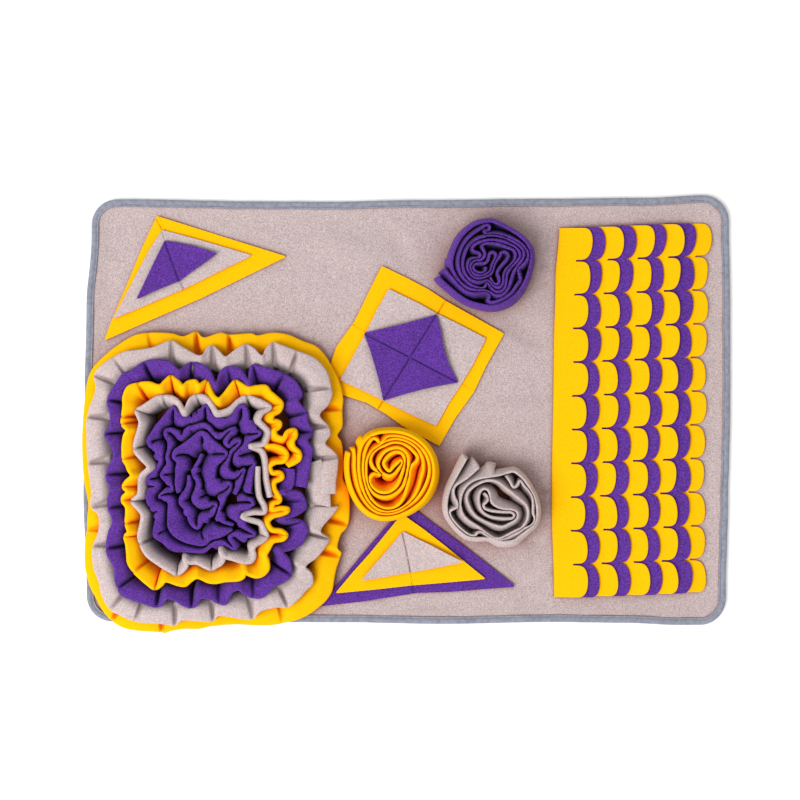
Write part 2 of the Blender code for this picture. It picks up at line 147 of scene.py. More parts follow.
# Soft folds. Columns, in millimetres: the middle's x and y, the length, the width, the heading in
# degrees, and the height, which is negative for a trough.
MAT_FOLDS = (
    (112, -208.5, 60, 18, 33, 2.4),
    (119, -216, 52, 7, 32, -2),
    (94, -217, 46, 7, 38, -2.2),
    (131, -201, 50, 7, 28, -1.8),
    (140, -212, 36, 6, 40, -1.6),
    (136, -188, 44, 8, 22, -1.6),
    (112, -172, 36, 7, -50, -1.6),
    (138, -156, 36, 7, 62, -1.6),
    (147, 171, 24, 6, 12, -2.2),
    (150, 154, 24, 6, -8, -2.2),
    (149, 138, 22, 6, -28, -1.8),
    (139, 190, 24, 6, 40, -1.8),
    (41, 179, 22, 6, -22, -1.4),
    (117, 1, 90, 30, 5, 3.2),
    (130, 86, 70, 36, -30, -2.8),
    (100, -23, 80, 28, 20, 2.4),
    (119, -165, 40, 16, 20, 2.4),
    (150, -88, 22, 6, 14, -2.2),
    (151, -104, 22, 6, -6, -2.2),
    (149, -123, 24, 6, -30, -1.8),
    (-16, 205, 36, 10, -42, 2.4),
    (-60, 174, 80, 40, -20, 2.8),
    (-10, 180, 70, 30, -60, -2),
    (331, 38, 14, 8, 10, -1.6),
    (331, -20, 14, 8, -8, -1.6),
    (331, 90, 14, 8, 14, 1.6),
    (-45, -211.5, 70, 10, -8, 2.4),
    (30, -212, 60, 10, 4, -1.6),
    (144, -176, 60, 26, 60, 2.8),
    (126, -152, 45, 26, 150, 2.4),
    (-24, 215, 30, 16, 70, 2),
    (140, 166, 50, 20, 75, 2.8),
    (326, -217, 24, 10, 50, 2),
    (-40, -33, 50, 18, 150, 2),
)


def eased(rows, at):
    """Reads a table of (station, value) rows at each of many stations, easing from row to row."""
    stations, values = np.array(rows).T
    at = np.clip(at, stations[0], stations[-1])
    row = np.clip(np.searchsorted(stations, at) - 1, 0, len(stations) - 2)
    share = (at - stations[row]) / (stations[row + 1] - stations[row])
    return values[row] + (values[row + 1] - values[row]) * share * share * (3 - 2 * share)


def wander(x, y):
    """Shifts points of the true rectangle with the edges that wander."""
    west, east = eased(WEST_EDGE, y), eased(EAST_EDGE, y)
    south, north = eased(SOUTH_EDGE, x), eased(NORTH_EDGE, x)
    return (west + (east - west) * (x / MAT_LENGTH + 0.5),
            south + (north - south) * (y / MAT_WIDTH + 0.5))


def grain(x, y, size, seed):
    """Smooth even noise between -1 and 1, with lumps of about that size, from a few waves."""
    total = np.zeros_like(np.asarray(x, float))
    for wave, share in enumerate(GRAIN_PITCHES):
        turn = GOLDEN_TURN * wave + seed
        run = x * cos(turn) + y * sin(turn)
        total = total + np.sin(run * 2 * pi / (size * share) + seed * (wave + GRAIN_PHASE))
    return total / len(GRAIN_PITCHES)


def folds_at(x, y, rows):
    """The height that a table of soft folds adds at each of many points."""
    lift = np.zeros_like(x)
    for fold_x, fold_y, length, width, heading, height in rows:
        turn = radians(heading)
        east, north = x / MM - fold_x, y / MM - fold_y
        along = (east * cos(turn) + north * sin(turn)) / (length / 2)
        across = (north * cos(turn) - east * sin(turn)) / (width / 2)
        lift += height * MM * np.clip(1 - SLACK_ENDS * along ** 2 - across ** 2, 0, None) ** SLACK_SOFT
    return lift


def cloth_piece(name, points, faces, material):
    """A mesh object in the row frame, smooth all over, that rides on the one body."""
    mesh = bpy.data.meshes.new(name)
    mesh.from_pydata([tuple(point) for point in points], [], faces)
    mesh.shade_smooth()
    mesh.materials.append(material)
    piece = bpy.data.objects.new(name, mesh)
    bpy.context.scene.collection.objects.link(piece)
    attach(piece, "root")
    return piece


def noise(nodes, links, size, detail):
    """Cloudy noise in the object's own space, with clouds of about that size."""
    place = nodes.new("ShaderNodeTexCoord")
    clouds = nodes.new("ShaderNodeTexNoise")
    clouds.inputs["Scale"].default_value = 1 / size
    clouds.inputs["Detail"].default_value = detail
    links.new(place.outputs["Object"], clouds.inputs["Vector"])
    return clouds


def colour_ramp(nodes, links, source, ends, dark, light):
    """The colour that goes from dark to light as the source goes from one end to the other."""
    steps = nodes.new("ShaderNodeValToRGB")
    for element, position, colour in zip(steps.color_ramp.elements, ends, (dark, light)):
        element.position = position
        element.color = (*colour, 1)
    links.new(source.outputs["Fac"], steps.inputs["Fac"])
    return steps.outputs["Color"]


def napped(name, colour, mottle, nap, nap_size, sheen, hollow=None, reach=0.014, clear=0.85):
    """A matte brushed cloth: mottled in two sizes, with a fibre nap that the light catches. Given a
    hollow colour, it has painted shade: where ambient occlusion finds a spot closed in, its colour is
    mixed toward hollow, standing in for the shade there and the light off other cloth. Clear is how
    open to the sky a spot is when that painted shade starts."""
    material = bpy.data.materials.new(name)
    material.use_nodes = True
    nodes, links = material.node_tree.nodes, material.node_tree.links
    surface = nodes["Principled BSDF"]
    surface.inputs["Roughness"].default_value = 0.95
    surface.inputs["Specular IOR Level"].default_value = 0.06
    surface.inputs["Sheen Weight"].default_value = sheen
    surface.inputs["Sheen Roughness"].default_value = 0.6
    fibre = noise(nodes, links, nap_size, 3.0)
    fibre.inputs["Roughness"].default_value = 0.65
    cloud = noise(nodes, links, nap_size * CLOUD_SIZE, 2.0)
    shade = nodes.new("ShaderNodeMix")
    shade.data_type = "RGBA"
    shade.blend_type = "MULTIPLY"
    shade.inputs["Factor"].default_value = 1.0
    dark = [part * (1 - mottle) for part in colour]
    light = [min(1, part * (1 + mottle)) for part in colour]
    links.new(colour_ramp(nodes, links, fibre, SPECK_ENDS, dark, light), shade.inputs["A"])
    faded = (1 - mottle * CLOUD_SHARE,) * 3
    links.new(colour_ramp(nodes, links, cloud, CLOUD_ENDS, faded, (1, 1, 1)), shade.inputs["B"])
    cloth = shade.outputs["Result"]
    # Painted shade: the cloth's colour is mixed toward the hollow colour as the spot is less open to the
    # sky.
    if hollow:
        openness = nodes.new("ShaderNodeAmbientOcclusion")
        openness.samples = PAINTED_SHADE_SAMPLES
        openness.inputs["Distance"].default_value = reach
        share = nodes.new("ShaderNodeMapRange")
        share.inputs["From Min"].default_value = PAINTED_SHADE_FULL
        share.inputs["From Max"].default_value = clear
        painted_shade_mix = nodes.new("ShaderNodeMix")
        painted_shade_mix.data_type = "RGBA"
        painted_shade_mix.inputs["A"].default_value = (*hollow, 1)
        links.new(openness.outputs["AO"], share.inputs["Value"])
        links.new(share.outputs["Result"], painted_shade_mix.inputs["Factor"])
        links.new(cloth, painted_shade_mix.inputs["B"])
        cloth = painted_shade_mix.outputs["Result"]
    links.new(cloth, surface.inputs["Base Color"])
    bump = nodes.new("ShaderNodeBump")
    bump.inputs["Strength"].default_value = 0.7
    bump.inputs["Distance"].default_value = nap
    links.new(fibre.outputs["Fac"], bump.inputs["Height"])
    links.new(bump.outputs["Normal"], surface.inputs["Normal"])
    return material


def make_mat():
    """The mat's closed sheet: a fine folded top, a rolled rim, and a flat underside."""
    across = int(MAT_LENGTH / MAT_STEP)
    along = int(MAT_WIDTH / MAT_STEP)
    inset = RIM_LIFT
    half_x, half_y, radius = MAT_LENGTH / 2 - inset, MAT_WIDTH / 2 - inset, MAT_CORNER - inset
    x, y = np.meshgrid(np.linspace(-half_x, half_x, across), np.linspace(-half_y, half_y, along))
    p = np.clip((np.abs(x) - (half_x - radius)) / radius, 0, 1)
    q = np.clip((np.abs(y) - (half_y - radius)) / radius, 0, 1)
    both = (p > 0) & (q > 0)
    round_x = np.sign(x) * (half_x - radius + radius * p * np.sqrt(1 - q * q / 2))
    round_y = np.sign(y) * (half_y - radius + radius * q * np.sqrt(1 - p * p / 2))
    edge = np.minimum(half_x - np.abs(x), half_y - np.abs(y))
    x, y = wander(np.where(both, round_x, x), np.where(both, round_y, y))
    ramp = np.clip((RIM_WIDTH + RIM_RAMP - edge) / RIM_RAMP, 0, 1)
    slack = folds_at(x, y, MAT_FOLDS) + MAT_SWELL * grain(x, y, MAT_SWELL_SIZE, 1.0)
    height = MAT_TOP + RIM_LIFT * ramp * ramp * (3 - 2 * ramp)
    height = height + (1 - ramp) * slack
    points = list(zip(x.ravel(), y.ravel(), height.ravel()))
    grid = np.arange(len(points)).reshape(along, across)
    faces = [(first, first + 1, first + across + 1, first + across)
             for first in grid[:-1, :-1].ravel().tolist()]
    border = np.concatenate((grid[0, :-1], grid[:-1, -1], grid[-1, :0:-1], grid[:0:-1, 0])).tolist()
    rim = np.array([points[index] for index in border])
    under = list(range(len(points), len(points) + len(border)))
    points += [(rim_x, rim_y, RIM_LIFT) for rim_x, rim_y, _ in rim]
    middle = rim[:, :2].mean(axis=0)
    inward = middle - rim[:, :2]
    inward /= np.linalg.norm(inward, axis=1)[:, None]
    sole = list(range(len(points), len(points) + len(border)))
    points += [(rim_x + dx * RIM_RAMP * 2, rim_y + dy * RIM_RAMP * 2, 0)
               for (rim_x, rim_y, _), (dx, dy) in zip(rim, inward)]
    for index in range(len(border)):
        after = (index + 1) % len(border)
        faces.append((border[index], under[index], under[after], border[after]))
        faces.append((under[index], sole[index], sole[after], under[after]))
    faces.append(tuple(reversed(sole)))
    # The mat has painted shade, warm brown, reaching far round the raised pieces.
    mat_cloth = napped("mat_cloth", MAT_COLOUR, mottle=0.34, nap=0.0006, nap_size=0.0013, sheen=0.08,
                       hollow=MAT_PAINTED_SHADE, reach=0.070, clear=0.93)
    mat = cloth_piece("mat", points, faces, mat_cloth)
    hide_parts("mat_base")


make_mat()


# The binding: a blue-grey ribbed tape 19 mm wide, folded round the mat's edge and sewn down
# through the mat with one line of lock stitches near its inner edge.
TAPE_WIDTH = 0.008
TAPE_STEP = 0.003
TAPE_COLOUR = (0.285, 0.295, 0.350)
TAPE_DARK = (0.200, 0.210, 0.260)
TAPE_RIBS = 260.0
TAPE_INNER = 0.0045
CORNER_BEND = 6
# Sewn tape lies a little uneven. Columns: the height, the length and the phase of each wave in it.
TAPE_SLACK = ((0.00025, 0.0170, 0), (0.00020, 0.0071, 1))
STITCH_LINE = 0.0060
STITCH_LENGTH = 0.0024
STITCH_PITCH = 0.0031
STITCH_THICK = 0.0006
STITCH_SIDES = 5
STITCH_TOP = 0.0052
STITCH_SOLE = 0.0004
THREAD_COLOUR = (0.24, 0.25, 0.30)
# A stitch. Columns: the share of its length, the share of its thickness there, and its height.
STITCH_FORM = ((0, 0.4, -0.0003), (0.2, 1, 0), (0.8, 1, 0), (1, 0.4, -0.0003))
# The tape's section. Columns: how far in from the mat's outline, and the height.
TAPE_SECTION = (
    (0.0080, 0.0000), (0.0064, 0.0000), (0.0060, 0.0004), (0.0056, 0.0000), (0.0012, 0.0000),
    (0.0003, 0.0005), (0.0000, 0.0018), (0.0000, 0.0038), (0.0004, 0.0051), (0.0014, 0.0058),
    (0.0030, 0.0060), (0.0046, 0.0058), (0.0055, 0.0054), (0.0060, 0.0049), (0.0065, 0.0053),
    (0.0074, 0.0055), (0.0080, 0.0052), (0.0080, 0.0045), (0.0012, 0.0045), (0.0012, 0.0011),
    (0.0080, 0.0011),
)
# The tape's two ends meet on the north edge, where one is folded under the other.
TAPE_JOIN_X = 0.0430
TAPE_JOIN_LAP = 0.0100
TAPE_JOIN_LIFT = 0.0006


def rounded_loop(inset, step):
    """Anticlockwise stations round the mat's rounded outline, set in from it."""
    half_x, half_y, radius = MAT_LENGTH / 2 - inset, MAT_WIDTH / 2 - inset, MAT_CORNER - inset
    loop = []
    for turn, side in ((-90, 2 * (half_x - radius)), (0, 2 * (half_y - radius)),
                       (90, 2 * (half_x - radius)), (180, 2 * (half_y - radius))):
        corner_x = (half_x - radius) * (1 if turn in (-90, 0) else -1)
        corner_y = (half_y - radius) * (1 if turn in (0, 90) else -1)
        heading = radians(turn + 90)
        for run in np.arange(side, 0, -step):
            loop.append((corner_x - cos(heading) * run + radius * cos(radians(turn)),
                         corner_y - sin(heading) * run + radius * sin(radians(turn))))
        for bend in np.arange(turn, turn + 90, CORNER_BEND):
            loop.append((corner_x + radius * cos(radians(bend)),
                         corner_y + radius * sin(radians(bend))))
    x, y = np.array(loop).T
    return np.column_stack(wander(x, y))


def outward_of(loop):
    """The outward unit direction at each point of a flat anticlockwise loop."""
    along = np.roll(loop, -1, axis=0) - np.roll(loop, 1, axis=0)
    normal = np.column_stack((along[:, 1], -along[:, 0]))
    return normal / np.linalg.norm(normal, axis=1)[:, None]


def swept_faces(count, size, closed=False, capped=False, first=0):
    """The faces that join count sections of size points each, the first point being number first.
    A closed sweep comes back to its first section, and a capped one has both its ends shut."""
    faces = []
    for index in range(count if closed else count - 1):
        here, there = first + index * size, first + (index + 1) % count * size
        for corner in range(size):
            after = (corner + 1) % size
            faces.append((here + corner, there + corner, there + after, here + after))
    if capped:
        last = first + (count - 1) * size
        faces.append(tuple(range(first, first + size)))
        faces.append(tuple(reversed(range(last, last + size))))
    return faces


def shifted(faces, first):
    """The same faces on points that have been put after as many others as first says."""
    return [tuple(corner + first for corner in face) for face in faces]


def ribbed(name, light, dark):
    """A matte tape with fine ribs across it and a darker thread here and there."""
    material = napped(name, light, mottle=0.10, nap=0.0003, nap_size=0.0007, sheen=0.1)
    nodes, links = material.node_tree.nodes, material.node_tree.links
    surface = nodes["Principled BSDF"]
    colour = surface.inputs["Base Color"].links[0].from_socket
    rib = noise(nodes, links, 1 / TAPE_RIBS, 1.0)
    share = nodes.new("ShaderNodeMapRange")
    share.inputs["From Min"].default_value = 0.35
    share.inputs["From Max"].default_value = 0.75
    links.new(rib.outputs["Fac"], share.inputs["Value"])
    mix = nodes.new("ShaderNodeMix")
    mix.data_type = "RGBA"
    links.new(share.outputs["Result"], mix.inputs["Factor"])
    links.new(colour, mix.inputs["A"])
    mix.inputs["B"].default_value = (*dark, 1)
    links.new(mix.outputs["Result"], surface.inputs["Base Color"])
    return material


def make_binding():
    """The tape's swept section, a little uneven as sewn tape is."""
    loop = rounded_loop(0, TAPE_STEP)
    outward = outward_of(loop)
    run = np.arange(len(loop)) * TAPE_STEP
    slack = sum(height * np.sin(run / length + phase) for height, length, phase in TAPE_SLACK)
    join = (np.abs(loop[:, 0] - TAPE_JOIN_X) < TAPE_JOIN_LAP / 2) & (loop[:, 1] > 0)
    points = []
    for inset, height in TAPE_SECTION:
        inward = inset + (slack if 0 < inset < TAPE_WIDTH else 0)
        place = loop - outward * np.broadcast_to(inward, len(loop))[:, None]
        lift = (height > TAPE_INNER) * (np.where(join, TAPE_JOIN_LIFT, 0) + slack)
        points.append(np.column_stack((place, height + lift)))
    points = np.stack(points, axis=1)
    faces = swept_faces(len(loop), len(TAPE_SECTION), closed=True)
    binding = cloth_piece("binding", points.reshape(-1, 3), faces,
                          ribbed("binding_tape", TAPE_COLOUR, TAPE_DARK))
    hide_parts("edge_binding")


def stitch_line(inset, height):
    """A line of lock stitches round the binding: short threads that dip at both ends."""
    loop = rounded_loop(inset, STITCH_PITCH)
    points, faces = [], []
    for here, there in zip(loop, np.roll(loop, -1, axis=0)):
        along = there - here
        length = hypot(*along)
        if length < STITCH_LENGTH:
            continue
        along = along / length
        across = np.array((-along[1], along[0]))
        faces += swept_faces(len(STITCH_FORM), STITCH_SIDES, capped=True, first=len(points))
        for share, swell, dip in STITCH_FORM:
            middle = here + along * STITCH_LENGTH * share
            reach = STITCH_THICK / 2 * swell
            for side in range(STITCH_SIDES):
                turn = 2 * pi * side / STITCH_SIDES
                x, y = middle + across * reach * cos(turn)
                points.append((x, y, height + dip + reach * sin(turn)))
    return points, faces


def make_stitches():
    """The seam's threads, on the mat's top and on its underside."""
    points, faces = [], []
    for height in (STITCH_TOP, STITCH_SOLE):
        more, more_faces = stitch_line(STITCH_LINE, height)
        faces += shifted(more_faces, len(points))
        points += more
    thread = napped("binding_thread", THREAD_COLOUR, mottle=0.1, nap=0.0001, nap_size=0.0004, sheen=0.1)
    cloth_piece("binding_stitches", points, faces, thread)


make_binding()
make_stitches()


# The stacked shapes: three flat cuts of 2 mm fleece, yellow, purple and taupe, one on another.
# Each is sewn down along its creases, and its cut edges lie free and lift a little.
FLEECE = 0.0020
LAY_Z = 0.0033
LAYER_STEP = 0.0023
YELLOW = (0.99, 0.490, 0.0020)
PURPLE = (0.104, 0.032, 0.275)
TAUPE = (0.530, 0.432, 0.424)
YELLOW_NAP = {"mottle": 0.10, "nap": 0.0004, "nap_size": 0.0013, "sheen": 0.0}
# The fleeces have painted shade in their hollows: deep orange on the yellow, standing in for light bounced
# between its folds and passing through the cloth, and darker tones on the purple and taupe.
YELLOW_FLEECE = napped("yellow_fleece", YELLOW, **YELLOW_NAP, hollow=(0.95, 0.16, 0.001), reach=0.006)
PURPLE_FLEECE = napped("purple_fleece", PURPLE, mottle=0.60, nap=0.0006, nap_size=0.0014, sheen=0.06,
                       hollow=(0.030, 0.006, 0.110))
TAUPE_FLEECE = napped("taupe_fleece", TAUPE, mottle=0.28, nap=0.0006, nap_size=0.0014, sheen=0.08,
                      hollow=(0.25, 0.19, 0.18))
FLEECES = {"yellow": YELLOW_FLEECE, "purple": PURPLE_FLEECE, "taupe": TAUPE_FLEECE}

# Columns, in millimetres: the name, the colour, how many cuts lie under it, the middle, the
# outline's rows of (x, y) with how far the free edge lifts there, where it does, and its creases as
# (x, y, x, y, depth, width).
LAYERS = (
    ("square_1_yellow", "yellow", 0, (5, 56),
     ((-27.1, 155.2, 0.4), (0, 142.2, 0.2), (23, 130), (42, 117.5), (104.2, 82.5, 0.6), (85, 48, 0.2),
      (72, 20), (52, -8), (34.7, -38, 0.6), (-4, -17), (-22, -4), (-43, 8.5), (-73, 18), (-86.5, 37),
      (-76, 68), (-56, 96), (-40, 129)),
     ((32.6, 103.1, 40.2, 116.1, 1.8, 1.4), (-25, 10.9, -30, 3, 1.8, 1.4), (60, 27, 69, 23, 0.4, 1.6),
      (-50, 86, -57, 90, 0.4, 1.6))),
    ("square_2_taupe", "taupe", 1, (5, 56),
     ((-19.5, 130.2, 0.2), (12, 115), (31.5, 104), (60, 90), (84.6, 77, 0.4), (70, 48), (58.5, 29),
      (44, 7), (31.5, -16.3, 0.4), (4, -4), (-20, 8), (-46, 21), (-71.6, 32.6), (-57, 59), (-45, 81),
      (-33, 106)),
     ((-45.6, 82.5, 54.3, 30.4, 0.6, 5), (31.5, 102, -25, 10.9, 0.6, 5))),
    ("square_3_purple", "purple", 2, (3.5, 56.7),
     ((31.5, 102), (35.6, 86, 2.2), (38, 70, 3), (44, 50, 2.4), (54.3, 30.4), (34, 26.8, 2.2),
      (14.5, 22.5, 3.4), (-6, 17, 2.2), (-25, 10.9), (-29, 30, 2), (-34, 48, 2.8), (-39.5, 66, 2),
      (-45.6, 82.5), (-25, 87.2, 2.2), (-6, 91.5, 3.2), (13, 97, 2)),
     ((-45.6, 82.5, 54.3, 30.4, 1.9, 1.4), (31.5, 102, -25, 10.9, 1.9, 1.4))),
    ("triangle_1_yellow", "yellow", 0, (-240, 150),
     ((-270.7, 209.4, 0.6), (-209, 190), (-132.4, 166, 1), (-178, 144), (-224, 121.5), (-276, 99),
      (-327.1, 76.5, 0.6), (-315, 108), (-301, 140), (-288, 172)),
     ((-264.7, 194.2, -270, 206, 0.6, 1.6), (-246.3, 140, -242, 131, 1, 1.6))),
    ("triangle_2_taupe", "taupe", 1, (-247, 152),
     ((-264.7, 194.2), (-220, 182), (-169.3, 167.1, 0.4), (-201, 152), (-239, 133), (-276, 117),
      (-316.8, 99.8, 0.2), (-304, 124), (-292, 147), (-279, 172)),
     ((-261.5, 182.3, -264.7, 194.2, 1, 1.6), (-246.3, 140, -243, 133.5, 1.2, 1.6),
      (-261.5, 182.3, -246.3, 140, 0.6, 5))),
    ("triangle_3_purple", "purple", 2, (-254.5, 158),
     ((-261.5, 182.3), (-248, 180, 0.8), (-233, 177, 1.6), (-206.2, 168.7, 3), (-220, 159, 1.8),
      (-233, 150, 0.8), (-246.3, 140), (-259, 135, 0.8), (-274, 128.5, 1.8), (-290.8, 120.4, 2.8),
      (-283, 137, 2), (-276, 152, 1.4), (-268, 169, 0.8)),
     ((-261.5, 182.3, -246.3, 140, 1.8, 2.2),)),
    ("wedge_1_purple", "purple", 0, (6, -168),
     ((1, -103), (30, -125), (60, -147), (90, -170), (116.1, -191, 0.8), (83, -193.5), (46.7, -196.4),
      (11, -197.5), (-8, -200.5), (-50, -207), (-94, -212), (-70, -184), (-48, -157), (-24, -129)),
     ((4.3, -186, 7, -197.5, 1, 1.6),)),
    ("wedge_2_yellow", "yellow", 1, (2, -166),
     ((-5.4, -113.5, 0.4), (18, -130), (40, -147), (62, -165), (83.5, -182.3, 0.6), (43, -186),
      (2, -189.5), (-38, -194), (-76, -197.5, 0.4), (-58, -176), (-40, -156), (-22, -134)),
     ((4.3, -174.7, 5.2, -188, 0.6, 1.6),)),
    ("wedge_3_taupe", "taupe", 2, (1, -160),
     ((-4.3, -132), (11, -140, 0.8), (27, -147.5, 1.8), (43, -156, 2.6), (58.6, -163.8, 3.2),
      (40, -168, 1.6), (22, -171.5, 0.8), (4.3, -174.7), (-13, -177.5, 0.8), (-30, -180.5, 1.8),
      (-47.7, -183.4, 2.8), (-37, -170, 1.8), (-26, -158, 1.2), (-15, -145, 0.6)),
     ((-4.3, -132, 4.3, -174.7, 1.8, 2),)),
)
CUT_STEP = 0.0016
CUT_RINGS = 30
CUT_RAGGED = 0.00018
RAGGED_TURNS = (2.1, 0.37)
CUT_FINE = 0.9
CUT_FINE_RINGS = 6
CUT_CURL = 2.2
CUT_SHOULDER = 0.8
CUT_PUFF = 0.0002
CUT_PUFF_SIZE = 0.028
# The cut edge's round rim. Columns: how far in and how far down, in halves of the fleece.
CUT_RIM = ((0.35, 0.30), (0.05, 0.85), (0.0, 1.25), (0.3, 1.8))
CUT_UNDERSIDE = (0.93, 0.8, 0.5)
CREASE_SHARP = 1.2
CREASE_NEAR = 0.004
CREASE_STATIONS = (-0.0020, -0.0013, -0.0008, -0.0004, 0, 0.0004, 0.0008, 0.0013, 0.0020)


def charted(rows, columns):
    """A chart as an array, with 0 for the columns that a row leaves out."""
    return np.array([(*row, 0)[:columns] for row in rows], float)


def in_metres(chart):
    """A chart in millimetres as metres, to the nearest thousandth of a millimetre."""
    return np.round(np.array(chart) * MM, 6)


def crease_at(x, y, creases):
    """How far a table of sewn creases pulls the cloth down at each of many points."""
    dip = np.zeros_like(x)
    for start_x, start_y, end_x, end_y, depth, width in creases:
        along_x, along_y = end_x - start_x, end_y - start_y
        share = ((x - start_x) * along_x + (y - start_y) * along_y) / (along_x ** 2 + along_y ** 2)
        share = np.clip(share, 0, 1)
        away = np.hypot(x - start_x - along_x * share, y - start_y - along_y * share)
        dip = np.maximum(dip, depth * np.clip(1 - away / width, 0, 1) ** CREASE_SHARP)
    return dip


def rim_stations(outline, creases):
    """Stations along a cut's outline, close together where a crease runs out over it."""
    stations = []
    crease_ends = np.vstack((creases[:, 0:2], creases[:, 2:4]))
    for corner, after in zip(outline, np.roll(outline, -1, axis=0)):
        side = after[:2] - corner[:2]
        length = hypot(*side)
        steps = max(2, round(length / CUT_STEP))
        shares = set(step / steps for step in range(steps))
        for end in crease_ends:
            near = sum((end - corner[:2]) * side) / length ** 2
            if hypot(*(end - corner[:2] - near * side)) < CREASE_NEAR:
                shares.update(near + reach / length for reach in CREASE_STATIONS
                              if 0 < near + reach / length < 1)
        stations += [corner + (after - corner) * share for share in sorted(shares)]
    return np.array(stations)


def make_cut(name, colour, level, middle, outline, creases):
    """One flat cut of fleece: rings from its middle to its outline, above and then below."""
    middle, creases = in_metres(middle), in_metres(creases)
    rim = rim_stations(in_metres(charted(outline, 3)), creases)
    run = np.arange(len(rim))
    ragged = CUT_RAGGED * np.sin(run * RAGGED_TURNS[0] + level) * np.sin(run * RAGGED_TURNS[1])
    rim[:, :2] += outward_of(rim[:, :2]) * ragged[:, None]
    under = LAY_Z + level * LAYER_STEP
    spread = np.append(np.linspace(0, CUT_FINE, CUT_RINGS - CUT_FINE_RINGS, endpoint=False),
                       np.linspace(CUT_FINE, 1, CUT_FINE_RINGS + 1))
    shares = np.sin(spread * pi / 2)
    outward = outward_of(rim[:, :2])
    half = FLEECE / 2
    rings = []

    def ring(flat, height):
        rings.append(np.column_stack((flat, np.broadcast_to(height, len(flat)))))

    def top_of(flat, lift):
        x, y = flat.T
        puff = CUT_PUFF * grain(x, y, CUT_PUFF_SIZE, level + 2.0)
        return under + FLEECE + lift + puff - crease_at(x, y, creases)

    shoulder = rim[:, :2] - outward * half * CUT_SHOULDER
    for share in shares[1:]:
        flat = middle + (shoulder - middle) * share
        ring(flat, top_of(flat, rim[:, 2] * share ** CUT_CURL))
    for inward, drop in CUT_RIM:
        ring(rim[:, :2] - outward * half * inward, top_of(shoulder, rim[:, 2]) - half * drop)
    for share in CUT_UNDERSIDE:
        ring(middle + (rim[:, :2] - middle) * share, under + rim[:, 2] * share ** CUT_CURL)
    points = np.vstack((*rings, (*middle, top_of(middle[None, :], 0)[0]), (*middle, under)))
    faces = swept_faces(len(rings), len(rim))
    last = (len(rings) - 1) * len(rim)
    for index in range(len(rim)):
        after = (index + 1) % len(rim)
        faces.append((len(points) - 2, index, after))
        faces.append((len(points) - 1, last + after, last + index))
    cut = cloth_piece(name + "_cut", points, faces, FLEECES[colour])
    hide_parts(name)


for layer in LAYERS:
    make_cut(*layer)


# The scalloped panel: nine strips of 2 mm fleece, yellow and purple in turn, sewn down along
# their west edges like shingles. Each has eleven round lobes with a snipped slit between them.
STRIPS = 9
LOBES = 11
STRIP_WEST = 0.1600
STRIP_PITCH = 0.0161
LOBE_PITCH = 0.0365
PANEL_NORTH = 0.1964
PANEL_SKEW = 0.04
PANEL_SLACK = 0.004
STRIP_BIAS = 1.6
STRIP_SHOULDER = 0.7
STRIP_PUFF = 0.00012
STRIP_PUFF_SIZE = 0.021
# The cut edge's round rim. Columns: how far in and how far down, in halves of the fleece.
STRIP_RIM = ((0.25, 0.35), (0.0, 1.0), (0.25, 1.65))
# By colour: how deep the slits are cut, how square the lobes are, and half a slit's width.
LOBES_CUT = {"yellow": (0.0158, 0.44, 0.0010), "purple": (0.0110, 0.70, 0.0004)}
LOBE_STEPS = 26
LOBE_BIAS = 0.75
# No two lobes are alike. Columns: by how much they differ, and the turn from one to the next.
LOBE_LEAN = (0.0012, 3.1)
LOBE_REACH = (0.0008, 2.2)
LOBE_CURL = (0.0006, 1.7)
LEAST_CURL = 0.0004
STRIP_COLUMNS = 12
# Columns: how far a strip's tips reach east of its sewn edge, and the phase of its unevenness.
STRIP_TIPS = ((0.0364, 0.0), (0.0333, 1.3), (0.0373, 2.1), (0.0347, 0.7), (0.0390, 3.3),
              (0.0356, 4.0), (0.0380, 1.8), (0.0365, 5.1), (0.0367, 2.6))
# The panel's west edge wanders. Columns: y, and the shift east.
PANEL_DRIFT = ((-0.205, -0.0005), (-0.100, -0.0030), (0.060, -0.0008), (0.140, 0.0010), (0.197, 0.0050))


def strip_base(strip, x):
    """The height of a strip's underside, which climbs over the strips below it. The last strip has
    none below it, and the one before that has one."""
    west = STRIP_WEST + strip * STRIP_PITCH - PANEL_SLACK
    highest = {STRIPS - 1: 0, STRIPS - 2: LAYER_STEP}.get(strip)
    return LAY_Z + np.clip((x - west) * LAYER_STEP / STRIP_PITCH, 0, highest)


def turned(faces):
    """The same faces, turned to look the other way."""
    return [face[:1] + face[:0:-1] for face in faces]


